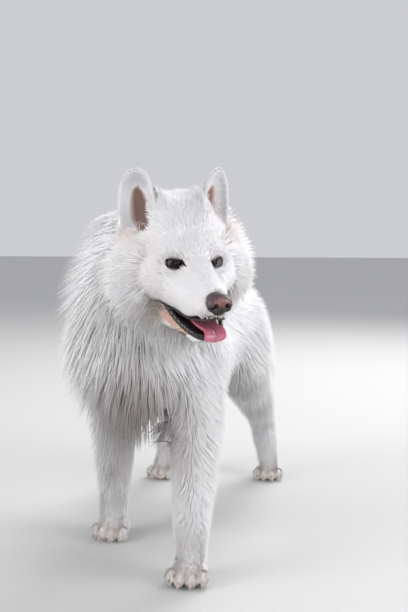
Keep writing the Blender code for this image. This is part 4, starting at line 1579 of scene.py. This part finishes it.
# %% Mouth and lips on the skin
points = vertex_array(skin.data)
normals = normal_array(skin.data)
near = local_points(points, HEAD)
head_normals = normals @ np.array(HEAD.to_3x3())
mouth = mouth_mask(near, head_normals)
lip_tree = KDTree(LIP_POINTS * 2)
for k, point in enumerate(np.vstack([lower_line, upper_line])):
    lip_tree.insert(point, k)
lip_tree.balance()
face = np.linalg.norm(near - (0, -0.03, -0.06), axis=1) < 0.12
lip_gap = np.full(len(points), 1.0)
lip_gap[face] = [lip_tree.find(point)[2] for point in near[face].tolist()]


def under_lip(near):
    """1 on the bare strip below the lower lip, from the corner of the mouth forwards."""
    edge = at_lip(LOWER_LIP, near[:, 1], 2)
    wide = at_lip(LOWER_LIP, near[:, 1], 0)
    tall = 0.0235 * smoothstep(-0.062, -0.030, near[:, 1])
    over = near[:, 2] - edge
    below = smoothstep(0.002, -0.001, over) * smoothstep(-1.25, -0.85, over / np.maximum(tall, 1e-4))
    outer = smoothstep(-0.014, -0.008, np.abs(near[:, 0]) - wide)
    return below * outer * (near[:, 1] < 0.034) * (near[:, 1] > -0.06)


# %% [markdown]
# ## Hollows of the ears
# The bare hollow is a teardrop on the open side of the flap, wide at the foot and narrow towards the tip. It is
# drawn in the ear's own flat directions, which also serve later for the fluff at its foot.

# %% Hollows of the ears
HOLLOW_HALF_WIDTH = 0.68


def ear_flat(near, side):
    """A point's place in the ear's own flat directions, how far up the ear it is, and the half width there."""
    t = (near[:, 2] - EAR_BASE.z) / (EAR_TIP.z - EAR_BASE.z)
    half = np.interp(t, *zip(*EAR_OUTLINE)) - EAR_FUR - EAR_WALL / 2
    base, tip = np.array(mirrored(EAR_BASE, side)), np.array(mirrored(EAR_TIP, side))
    middle = base + np.outer(t, tip - base)
    middle[:, 1] += EAR_LEAN * np.sin(pi * np.clip(t, 0, 1))
    return (near - middle) @ np.array(Matrix.Rotation(EAR_TURN * side, 3, "Z")), t, half


def in_ear(points):
    """0 outside the hollow of an ear, rising to 1 at its deepest."""
    near = local_points(points, HEAD)
    most = np.zeros(len(points))
    for side in (-1, 1):
        flat, t, half = ear_flat(near, side)
        deep = (half + EAR_FUR) * (0.80 - 0.20 * t) - EAR_FUR
        ring = np.sqrt((flat[:, 0] / half) ** 2 + (flat[:, 1] / deep) ** 2)
        inside = smoothstep(1.04, 0.97, ring) * (flat[:, 1] > -0.004 - 0.016 * smoothstep(0.35, 0.15, t))
        across = np.abs(flat[:, 0] / half + (0.32 - 0.45 * t) * side)
        narrowing = np.sqrt(np.clip(1 - (np.maximum(t - 0.20, 0) / 0.56) ** 2, 0.0001, 1))
        room = HOLLOW_HALF_WIDTH * narrowing * smoothstep(-0.14, 0.26, t)
        height = smoothstep(0.80, 0.70, t) * smoothstep(-0.08, 0.08, t)
        hollow = inside * height * smoothstep(1.15, 0.40, across / np.maximum(room, 0.01))
        most = np.maximum(most, hollow * (side * near[:, 0] > 0.03))
    return most


# %% Zones of the skin
put_attribute(skin.data, "mouth", mouth)
black = smoothstep(0.0062, 0.0034, lip_gap) * face
black = np.maximum(black, mouth * smoothstep(0.019, 0.012, lip_gap))
for side in (-1, 1):
    black = np.maximum(black, smoothstep(1.10, 0.95, round_eye(points, side)) * face)
put_attribute(skin.data, "black", black)
put_attribute(skin.data, "pink", under_lip(near) * face)
put_attribute(skin.data, "ear", in_ear(points))
for name, values in markings(points).items():
    put_attribute(skin.data, name, values)
print("zones of the skin", sorted(layer.name for layer in skin.data.attributes if layer.data_type == "FLOAT"))

# %% [markdown]
# ## Skin material
# One material serves the whole skin. It starts from the colour of the coat, and each zone lays its own colour over
# that. Only the mouth is glossy, because it is wet.

# %% Skin material
PINK = (0.56, 0.36, 0.285, 1)
DEEP_PINK = (0.44, 0.26, 0.21, 1)
LIP_BLACK = (0.012, 0.010, 0.012, 1)
MOUTH_RED = (0.050, 0.014, 0.016, 1)
EAR_PINK = (0.52, 0.38, 0.35, 1)
EAR_DARK_AND_SHADE = (0.230, 0.135, 0.118, 1)

hide, tree, shader = material("samoyed_skin")
color = coat_color(tree)
fine = noise(tree, 900.0, 2.0)
blotch = noise(tree, 140.0, 3.0)
pink = mixed(tree, ranged(tree, blotch, 0.35, 0.65), PINK, DEEP_PINK)
color = mixed(tree, attribute(tree, "pink"), color, pink)
hollow = attribute(tree, "ear")
color = mixed(tree, ranged(tree, hollow, 0.05, 0.45), color, EAR_PINK)
# Darker deepest in the hollow: partly the skin's own dark brown, partly painted shade in the recess.
color = mixed(tree, ranged(tree, hollow, 0.55, 0.95), color, EAR_DARK_AND_SHADE)
color = mixed(tree, attribute(tree, "mouth"), color, MOUTH_RED)
color = mixed(tree, attribute(tree, "black"), color, LIP_BLACK)
tree.links.new(color, shader.inputs["Base Color"])
tree.links.new(ranged(tree, attribute(tree, "mouth"), 0.0, 1.0, 0.70, 0.28), shader.inputs["Roughness"])
tree.links.new(bumped(tree, fine, 0.35, 0.0008), shader.inputs["Normal"])
print(hide.name, len(tree.nodes), "nodes")

# %% [markdown]
# ## Nose leather
# This dog's nose has faded to a rosy brown in the middle, as many Samoyeds' noses do in winter. It stays dark below
# and in the nostrils, and darker at the border, partly its own dark rim and partly painted shade along the top
# where it meets the fur. Smooth Voronoi cells give the pebbled grain and its bump.

# %% Nose leather
ROSY = (0.270, 0.125, 0.115, 1)
BROWN = (0.105, 0.050, 0.052, 1)
BORDER_DARK_AND_SHADE = (0.060, 0.040, 0.052, 1)
UNDER_DARK = (0.014, 0.010, 0.012, 1)
NOSTRIL_BLACK = (0.004, 0.003, 0.003, 1)
GRAIN_DARK = (0.05, 0.02, 0.02, 1)

leather, tree, shader = material("nose_leather")
height = attribute(tree, "height")
pebble = placed(tree, tree.nodes.new("ShaderNodeTexVoronoi"))
pebble.feature = "SMOOTH_F1"
pebble.inputs["Scale"].default_value = 900.0
rosy = mixed(tree, ranged(tree, noise(tree, 170.0, 3.0), 0.40, 0.62), ROSY, BROWN)
low = ranged(tree, height, -0.0005, -0.0065, 0.0, 0.96)
# Darker border: the leather's own dark rim, with painted shade along its top where it meets the fur.
color = mixed(tree, ranged(tree, attribute(tree, "border"), 0.0, 1.0, 0.0, 0.88), rosy, BORDER_DARK_AND_SHADE)
color = mixed(tree, low, color, UNDER_DARK)
color = mixed(tree, attribute(tree, "nostril"), color, NOSTRIL_BLACK)
color = mixed(tree, ranged(tree, pebble.outputs["Distance"], 0.25, 0.75, 0.0, 0.25), color, GRAIN_DARK)
tree.links.new(color, shader.inputs["Base Color"])
shader.inputs["Roughness"].default_value = 0.36
tree.links.new(bumped(tree, pebble.outputs["Distance"], 0.5, 0.0004), shader.inputs["Normal"])
print(leather.name, len(tree.nodes), "nodes")

# %% [markdown]
# ## Lips and lids
# Lips are black and wet, with paler scuffs. The lids are black only along their inner rim, and run out into a grey
# that is partly grey pink lid skin and partly painted shade round the eye.

# %% Lips and lids
LIP_SCUFF = (0.055, 0.042, 0.045, 1)
# Grey of the outer lid: grey pink skin with painted shade round the eye.
LID_GREY_AND_SHADE = (0.60, 0.56, 0.57, 1)
LID_BLACK = (0.010, 0.008, 0.009, 1)

lip_skin, tree, shader = material("lip_skin")
color = mixed(tree, ranged(tree, noise(tree, 260.0, 3.0), 0.45, 0.75), LIP_BLACK, LIP_SCUFF)
tree.links.new(color, shader.inputs["Base Color"])
shader.inputs["Roughness"].default_value = 0.24
tree.links.new(bumped(tree, noise(tree, 500.0, 2.0), 0.5, 0.0006), shader.inputs["Normal"])

lid_skin, tree, shader = material("lid_skin")
color = mixed(tree, attribute(tree, "rim"), LID_GREY_AND_SHADE, LID_BLACK)
tree.links.new(color, shader.inputs["Base Color"])
tree.links.new(ranged(tree, attribute(tree, "rim"), 0.0, 1.0, 0.65, 0.25), shader.inputs["Roughness"])
tree.links.new(bumped(tree, noise(tree, 700.0, 2.0), 0.3, 0.0004), shader.inputs["Normal"])
print(lip_skin.name, lid_skin.name)

# %% [markdown]
# ## Tongue and teeth
# A wet tongue is darker along its groove and mottled with paler pink. Tiny Voronoi cells raise its papillae. The
# enamel of the teeth is a warm white that wears unevenly.

# %% Tongue and teeth
TONGUE_RED = (0.46, 0.11, 0.17, 1)
GROOVE_RED = (0.26, 0.09, 0.16, 1)
TONGUE_PALE = (0.54, 0.21, 0.28, 1)
TOOTH_WHITE = (0.80, 0.76, 0.66, 1)
TOOTH_YELLOW = (0.70, 0.63, 0.50, 1)

tongue_skin, tree, shader = material("tongue_skin")
color = mixed(tree, attribute(tree, "groove"), TONGUE_RED, GROOVE_RED)
color = mixed(tree, ranged(tree, noise(tree, 220.0, 3.0), 0.40, 0.70, 0.0, 0.5), color, TONGUE_PALE)
tree.links.new(color, shader.inputs["Base Color"])
shader.inputs["Roughness"].default_value = 0.30
papillae = placed(tree, tree.nodes.new("ShaderNodeTexVoronoi"))
papillae.inputs["Scale"].default_value = 1100.0
tree.links.new(bumped(tree, papillae.outputs["Distance"], 0.35, 0.0003), shader.inputs["Normal"])

enamel, tree, shader = material("tooth_enamel")
color = mixed(tree, ranged(tree, noise(tree, 200.0), 0.3, 0.7), TOOTH_WHITE, TOOTH_YELLOW)
tree.links.new(color, shader.inputs["Base Color"])
shader.inputs["Roughness"].default_value = 0.2
print(tongue_skin.name, enamel.name)

# %% [markdown]
# ## Eye
# The eye is nearly black, with a dark brown iris whose edge melts into a darker ring. The white of it only shows
# towards the corners. All of it is painted from the angle to the pupil, under one glossy surface.

# %% Eye
IRIS_BROWN = (0.018, 0.008, 0.005, 1)
IRIS_DARK = (0.006, 0.003, 0.002, 1)
EYE_WHITE_INNER = (0.34, 0.24, 0.21, 1)
EYE_WHITE_OUTER = (0.30, 0.22, 0.20, 1)
IRIS_RING = (0.006, 0.004, 0.004, 1)
PUPIL = (0.002, 0.002, 0.002, 1)

eye_gloss, tree, shader = material("eye_gloss")
angle = attribute(tree, "from_pupil")
ring = noise(tree, 900.0, 4.0)
iris = mixed(tree, ranged(tree, ring, 0.35, 0.65), IRIS_BROWN, IRIS_DARK)
white_part = mixed(tree, ranged(tree, angle, radians(50), radians(56)), iris, EYE_WHITE_INNER)
color = mixed(tree, ranged(tree, angle, radians(40), radians(50)), white_part, IRIS_RING)
color = mixed(tree, ranged(tree, angle, radians(50), radians(60)), color, EYE_WHITE_OUTER)
color = mixed(tree, ranged(tree, angle, radians(17), radians(14)), color, PUPIL)
tree.links.new(color, shader.inputs["Base Color"])
shader.inputs["Roughness"].default_value = 0.05
shader.inputs["Specular IOR Level"].default_value = 0.24
print(eye_gloss.name, len(tree.nodes), "nodes")

# %% [markdown]
# ## Claw horn and collar webbing
# Claws and collar keep the frame's own solids and only get a finish. Claws are pale horn with brown clouds. The
# collar is black webbing, whose ribs are a wave texture that also gives the bump.

# %% Claw horn and collar webbing
HORN_PALE = (0.60, 0.50, 0.42, 1)
HORN_BROWN = (0.34, 0.25, 0.20, 1)
WEB_BLACK = (0.012, 0.012, 0.016, 1)
WEB_GREY = (0.035, 0.035, 0.042, 1)

horn, tree, shader = material("claw_horn")
color = mixed(tree, ranged(tree, noise(tree, 300.0, 3.0), 0.35, 0.70), HORN_PALE, HORN_BROWN)
tree.links.new(color, shader.inputs["Base Color"])
shader.inputs["Roughness"].default_value = 0.34
tree.links.new(bumped(tree, noise(tree, 700.0, 2.0), 0.25, 0.0003), shader.inputs["Normal"])
for name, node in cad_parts.items():
    if name.startswith("claw"):
        for slot in node.material_slots:
            slot.material = horn

webbing, tree, shader = material("collar_webbing")
ribs = placed(tree, tree.nodes.new("ShaderNodeTexWave"))
ribs.wave_type = "BANDS"
ribs.bands_direction = "Z"
ribs.inputs["Scale"].default_value = 160.0
ribs.inputs["Distortion"].default_value = 0.6
color = mixed(tree, ranged(tree, ribs.outputs["Fac"], 0.2, 0.8), WEB_BLACK, WEB_GREY)
tree.links.new(color, shader.inputs["Base Color"])
shader.inputs["Roughness"].default_value = 0.75
tree.links.new(bumped(tree, ribs.outputs["Fac"], 0.4, 0.0006), shader.inputs["Normal"])
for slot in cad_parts["collar"].material_slots:
    slot.material = webbing
print(horn.name, "and", webbing.name, "on the frame's own solids")

# %% [markdown]
# ## Where no hair grows
# Eyes, lips, nose leather and the inside of the mouth stay bare. So does most of the thin skin under the lower lip.

# %% Bare places
HOLLOW_CLEARING = 2.5
UNDER_LIP_BARE = 0.98


def keep_clear(points, normals):
    """0 where no hair grows, 1 where it grows freely."""
    near = local_points(points, HEAD)
    turned = normals @ np.array(HEAD.to_3x3())
    head_box = (np.abs(near) < (0.13, 0.15, 0.15)).all(1)
    free = np.ones(len(points))
    for side in (-1, 1):
        free *= np.where(head_box, smoothstep(0.92, 1.12, round_eye(points, side)), 1)
    free *= np.where(head_box, 1 - np.minimum(HOLLOW_CLEARING * in_ear(points), 1), 1)
    nose = near - np.array(NOSE_MIDDLE)
    inside_nose = (nose[:, 0] / 0.0205) ** 2 + ((nose[:, 1] + 0.004) / 0.0160) ** 2 + (nose[:, 2] / 0.0180) ** 2
    free *= np.where(head_box, smoothstep(0.95, 1.15, inside_nose), 1)
    gap = np.full(len(points), 1.0)
    gap[head_box] = [lip_tree.find(point)[2] for point in near[head_box].tolist()]
    free *= smoothstep(0.0030, 0.0050, gap)
    inside = mouth_mask(near, turned)
    free *= np.where(head_box, 1 - np.maximum(inside, under_lip(near) * UNDER_LIP_BARE), 1)
    between = (near[:, 2] < at_lip(UPPER_LIP, near[:, 1], 2)) & (near[:, 2] > at_lip(LOWER_LIP, near[:, 1], 2))
    lips_wide = np.abs(near[:, 0]) < at_lip(UPPER_LIP, near[:, 1], 0) + 0.004
    free *= np.where(head_box & between & lips_wide & (near[:, 1] < 0.036), 0, 1)
    return free


# %% [markdown]
# ## Where the coat is long
# The body, the ruff, the legs and the tail have long hair, and the front of the face and the paws short fur. Soft
# shares from 0 to 1 say which is which, so that one kind runs over into the other without a line.

# %% Where the coat is long
def face_share(points, depth):
    """1 on the front of the face, where the fur is short and grown from the skin, 0 on the body."""
    near = local_points(points, HEAD)
    back = near[:, 1] + 0.25 * np.maximum(-near[:, 2] - 0.06, 0) + 0.30 * np.maximum(near[:, 2] - 0.04, 0)
    box = (np.abs(near[:, 0]) < 0.13) & (near[:, 1] > -0.14) & (near[:, 1] < 0.10)
    box &= np.abs(near[:, 2] + 0.02) < 0.14
    return smoothstep(0.082, 0.036, back) * smoothstep(0.023, 0.011, depth) * box


def paw_share(points):
    """1 on the paws, 0 above the wrists and hocks."""
    return smoothstep(0.085, 0.060, local_points(points, BODY)[:, 2])


def front_share(points):
    """1 on the ruff and the chest, which the eye goes to first."""
    near = local_points(points, BODY)
    return smoothstep(-0.02, -0.16, near[:, 1])


# %% [markdown]
# ## Body coat
# How many tips a patch of outline gets follows from how much area one lock covers there. The ruff and the chest are
# covered more than twice over, and so is the collar, which lies deep in the coat. Locks below a certain length are
# made with fewer faces.

# %% Body coat
LONG_FROM = 0.056
UNDER_SOFT = 0.74

draw = np.random.RandomState(11)
collar_tree = nodes_tree(("collar",))


def body_chance(points, normals):
    """Tips per square metre of outline, more of them where the coat is short and its locks are thin."""
    leg = on_leg(points)
    depth = nearest_bare(points, leg)[2]
    long = np.maximum(depth * 1.6, 0.014)
    wide = 0.0007 + 0.0130 * long
    cover = np.where(leg, 1.35, 1.7 + 1.0 * front_share(points))
    cover += 1.0 * smoothstep(0.030, 0.012, nearest(collar_tree, points)[3])
    low = smoothstep(0.026, 0.040, local_points(points, BODY)[:, 2])
    return cover * 2 / (wide * long) * (1 - face_share(points, depth)) * low * (leg | (depth > 0.003))


def widths(root, tip, least, grade):
    """The width of each lock, from its length, and its thickness."""
    wide = (least + grade * np.linalg.norm(tip - root, axis=1)) * (0.7 + 0.6 * draw.random_sample(len(root)))
    return wide, wide * 0.30


rows = long_locks(body_outline, outline_tree, body_guides, body_chance, draw, (1.0, 1.8), 0.44, (0.10, 0.36))
rows += widths(rows[0], rows[2], 0.0007, 0.0150)
length = np.linalg.norm(rows[2] - rows[0], axis=1)
print("body locks", len(length), "median length", round(float(np.median(length)), 4))
grow_all("coat_body", [values[length >= LONG_FROM] for values in rows])
grow_all("coat_under", [values[length < LONG_FROM] for values in rows], SHORT_RINGS, UNDER_SOFT)

# %% [markdown]
# ## Tail coat
# The plume is grown like the body coat, on an outline of its own, so that no lock of the back is rooted on the tail.

# %% Tail coat
def tail_chance(points, normals):
    return np.full(len(points), 31000.0)


rows = long_locks(tail_outline, tail_tree, tail_guides, tail_chance, draw, (0.9, 1.5), 0.30, (0.25, 0.25))
rows += widths(rows[0], rows[2], 0.0010, 0.022)
grow_all("coat_tail", rows)


# %% [markdown]
# ## Short fur
# On the face, the ears and the paws the fur is short and lies flat. There the locks are planned from the inside out:
# they start on the skin, follow its lie, and stay clear of the eyes, the lips, the nose and the pads.

# %% Short locks
SCOOP_SHORTER = 0.70
MUZZLE_SHORTER = 0.35


def ear_share(points):
    """1 on the ears, 0 on the rest of the head."""
    near = local_points(points, HEAD)
    x, y, z = np.abs(near[:, 0]), near[:, 1], near[:, 2]
    box = (x > 0.040) & (np.abs(y - 0.08) < 0.06) & (z < 0.16) & (x < 0.13)
    return smoothstep(0.052, 0.066, z - 0.60 * np.maximum(0.075 - x, 0)) * box


def scooped_share(points):
    """1 in front of the ears, where the fur is kept short so that their hollows stay open."""
    near = local_points(points, HEAD)
    most = np.zeros(len(points))
    for middle, radii in SCOOPS.values():
        gap = np.linalg.norm((near - middle) / radii, axis=1)
        most = np.maximum(most, smoothstep(1.45, 1.10, gap))
    return most


def short_locks(chance_of, guides, draw, longest, slant):
    """Roots, normals, tips and lies of locks that start on the skin."""
    root, normal = scattered(skin, lambda at, out: chance_of(at, out) * keep_clear(at, out), draw)
    lie = combed(root, normal, guides, WANDER)
    ignored, out, ignored, depth = nearest(outline_tree, root)
    near = local_points(root, HEAD)
    muzzle = smoothstep(-0.015, -0.055, near[:, 1]) * (np.abs(near[:, 0]) < 0.06)
    length = np.clip(0.0050 + 2.3 * depth, 0.0065, longest) * (0.75 + 0.45 * draw.random_sample(len(root)))
    length *= (1 - SCOOP_SHORTER * scooped_share(root)) * (1 - MUZZLE_SHORTER * muzzle)
    rise = np.clip(depth * (0.65 + 0.45 * draw.random_sample(len(root))), length * slant[0], length * slant[1])
    across = np.cross(normal, lie) * (draw.random_sample((len(root), 1)) - 0.5) * 0.35
    tip = root + unit(lie + across) * np.sqrt(np.maximum(length**2 - rise**2, 0))[:, None] + normal * rise[:, None]
    return root, normal, tip, lie, unit(normal + out)


# %% [markdown]
# ## Face coat
# The muzzle has the shortest and densest fur of the dog. Towards the cheeks it grows longer and meets the ruff.

# %% Face coat
def face_chance(points, normals):
    near = local_points(points, HEAD)
    muzzle = smoothstep(-0.005, -0.040, near[:, 1])
    depth = nearest(outline_tree, points)[3]
    return face_share(points, depth) * (520000 + 500000 * muzzle) * (1 - ear_share(points))


root, normal, tip, lie, out = short_locks(face_chance, body_guides, draw, 0.034, (0.16, 0.55))
tip, ignored = clumped(tip, 0.12, 0.12, draw)
grow_all("coat_face", (root, normal, tip, lie, out, *widths(root, tip, 0.00060, 0.036)), SHORT_RINGS, 0.5)

# %% [markdown]
# ## Paw coat
# Fur covers the top of each toe and closes over the claws' roots. None grows under the foot, and none may dip below
# the floor.

# %% Paw coat
def paw_chance(points, normals):
    return 230000 * paw_share(points) * (normals[:, 2] > -0.55) * (local_points(points, BODY)[:, 2] > 0.004)


root, normal, tip, lie, out = short_locks(paw_chance, body_guides, draw, 0.011, (0.22, 0.50))
tip[:, 2] = np.maximum(tip[:, 2], floor_level + 0.001)
grow_all("coat_paws", (root, normal, tip, lie, out, *widths(root, tip, 0.0008, 0.05)), SHORT_RINGS)

# %% [markdown]
# ## Ear coat
# The ears feel like velvet. Very short, dense locks run from the foot of the ear to its tip.

# %% Ear coat
EAR_LIE = (((0.075, 0.08, 0.05), (0.0, 0.15, 1.0)), ((0.077, 0.085, 0.12), (0.0, 0.1, 1.0)))
ear_guides = guide_arrays(guide_rows(EAR_LIE, HEAD, True))


def ear_chance(points, normals):
    return 620000 * ear_share(points)


root, normal, tip, lie, out = short_locks(ear_chance, ear_guides, draw, 0.007, (0.10, 0.30))
grow_all("coat_ears", (root, normal, tip, lie, normal, *widths(root, tip, 0.0006, 0.035)), SHORT_RINGS, 0.4)

# %% [markdown]
# ## Fluff on the crown
# Loose, upright tufts stand on the crown, tallest beside the foot of each ear, and short ones fill the foot of the
# hollow. Longer ones lie backwards over the step from the skull to the nape. Their tips scatter freely, so that the
# outline of the head is soft against the light.

# %% Fluff on the crown
FLUFF_PER_AREA = 160000
NAPE_LIE = Vector((0, 0.85, -0.20))
FLUFF_LIE = (((0.035, 0.07, 0.09), (-0.15, 0.10, 1.0)), ((0.0, 0.07, 0.09), (0.0, 0.6, 1.0)))
fluff_guides = guide_arrays(guide_rows(FLUFF_LIE, HEAD, True))


def fluff_place(near):
    """Over the crown and its back: 1 on the two places where the fluff is tallest."""
    beside = 0.45 + 0.55 * np.exp(-(((np.abs(near[:, 0]) - 0.036) / 0.011) ** 2))
    along_head = smoothstep(0.036, 0.052, near[:, 1]) * smoothstep(0.150, 0.120, near[:, 1])
    return beside * along_head * smoothstep(0.058, 0.070, near[:, 2])


def nape_place(near):
    """1 on the step between the back of the skull and the nape, where longer locks bridge the two."""
    along_head = smoothstep(0.100, 0.125, near[:, 1]) * smoothstep(0.205, 0.180, near[:, 1])
    return along_head * smoothstep(0.070, 0.050, np.abs(near[:, 0])) * smoothstep(0.020, 0.045, near[:, 2])


def fluff_chance(points, normals):
    """Roots per square metre of skin, on the crown, at the foot of each hollow and on the nape."""
    near = local_points(points, HEAD)
    most = fluff_place(near) * (near[:, 2] < 0.15) * (np.abs(near[:, 0]) < 0.050)
    for side in (-1, 1):
        flat, t, half = ear_flat(near, side)
        foot = smoothstep(0.24, 0.12, t) * smoothstep(-0.12, 0.0, t) * (np.abs(flat[:, 0]) < 0.8 * half)
        most = np.maximum(most, 0.35 * foot * (np.abs(flat[:, 1]) < 0.020) * (side * near[:, 0] > 0.03))
    return FLUFF_PER_AREA * np.maximum(most, 0.8 * nape_place(near))


root, normal = scattered(skin, fluff_chance, draw)
lie = combed(root, normal, fluff_guides, 0.3)
tall = fluff_place(local_points(root, HEAD))
nape = nape_place(local_points(root, HEAD))[:, None]
lie = unit(lie * (1 - nape) + np.array(HEAD.to_3x3() @ NAPE_LIE) * nape)
length = (0.006 + 0.009 * tall) * (0.6 + 0.7 * draw.random_sample(len(root)))
length = np.maximum(length, nape[:, 0] * (0.018 + 0.010 * draw.random_sample(len(root))))
spread = 0.5 * (draw.random_sample(root.shape) - 0.5)
tip = root + unit(lie + normal * (0.3 + 0.7 * tall[:, None]) + spread) * length[:, None]
tip, ignored = clumped(tip, 0.10, 0.12, draw)
grow_all("coat_fluff", (root, normal, tip, lie, normal, *widths(root, tip, 0.0005, 0.03)), SHORT_RINGS, 0.6)

# %% [markdown]
# ## Putting it together
# Each row names a piece, its material, a slot and the frame's solids that the piece stands for. The piece gets its
# material and rides on the body, and those solids are hidden. The slot is not read.

# %% Finishes and places
FLESH_NODES = BODY_NODES + EAR_NODES + ("tail",)

for helper in (body_outline, tail_outline, coarse):
    bpy.data.objects.remove(helper)

for piece, finish, slot, nodes in (
    (skin, hide, "coat", FLESH_NODES),
    (nose_leather, leather, "nose", ("nose",)),
    (lower_lip, lip_skin, "nose", ()),
    (upper_lip, lip_skin, "nose", ()),
    (tongue_blade, tongue_skin, "tongue", ("tongue",)),
    (teeth, enamel, "claw", ()),
    (lids[1], lid_skin, "eye", ()),
    (lids[-1], lid_skin, "eye", ()),
    (eyeballs[1], eye_gloss, "eye", ("eye_left",)),
    (eyeballs[-1], eye_gloss, "eye", ("eye_right",)),
    *((piece, hair, "coat", ()) for piece in coat),
):
    piece.data.materials.clear()
    piece.data.materials.append(finish)
    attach(piece, "root")
    if nodes:
        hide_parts(*nodes)
print(len(coat), "coat pieces", sum(len(piece.data.polygons) for piece in coat), "triangles")

# %% [markdown]
# ## Stage and light
# A white dog needs gentle light from all sides, or its coat burns out on one side and turns grey on the other. A
# bright world gives most of it, and four large soft lamps give the locks their form. The floor is plain and pale.

# %% World and floor
WORLD_COLOR = (0.93, 0.94, 0.98, 1)
WORLD_STRENGTH = 0.65
FLOOR_GREY = (0.58, 0.58, 0.57, 1)
FLOOR_SIZE = 60

world = bpy.data.worlds.new("Studio")
scene.world = world
scene.view_settings.view_transform = "Standard"
scene.cycles.diffuse_bounces = 10
world.use_nodes = True
world.node_tree.nodes["Background"].inputs["Color"].default_value = WORLD_COLOR
world.node_tree.nodes["Background"].inputs["Strength"].default_value = WORLD_STRENGTH

bpy.ops.mesh.primitive_plane_add(size=FLOOR_SIZE, location=(0, 0, 0))
floor = bpy.context.object
floor.name = "floor"
floor_paint, tree, shader = material("floor")
shader.inputs["Base Color"].default_value = FLOOR_GREY
shader.inputs["Roughness"].default_value = 0.8
floor.data.materials.append(floor_paint)

# %% Soft lamps
LAMPS_AIM = Vector((0, -0.05, 0.4))
SOFT_LAMPS = (
    (Vector((-3.0, -2.4, 1.9)), 2.8, 88, (1.0, 0.99, 0.98)),
    (Vector((3.6, -0.5, 1.6)), 2.6, 84, (0.99, 0.985, 1.0)),
    (Vector((0.8, 3.0, 3.0)), 2.4, 110, (1, 1, 1)),
    (Vector((1.5, -3.4, 0.8)), 1.8, 20, (1.0, 0.99, 0.98)),
)

for place, size, watts, tone in SOFT_LAMPS:
    bpy.ops.object.light_add(type="AREA", location=place)
    lamp = bpy.context.object
    lamp.data.shape = "DISK"
    lamp.data.size = size
    lamp.data.energy = watts
    lamp.data.color = tone
    lamp.rotation_euler = (LAMPS_AIM - place).to_track_quat("-Z", "Y").to_euler()
print(len(SOFT_LAMPS), "lamps")
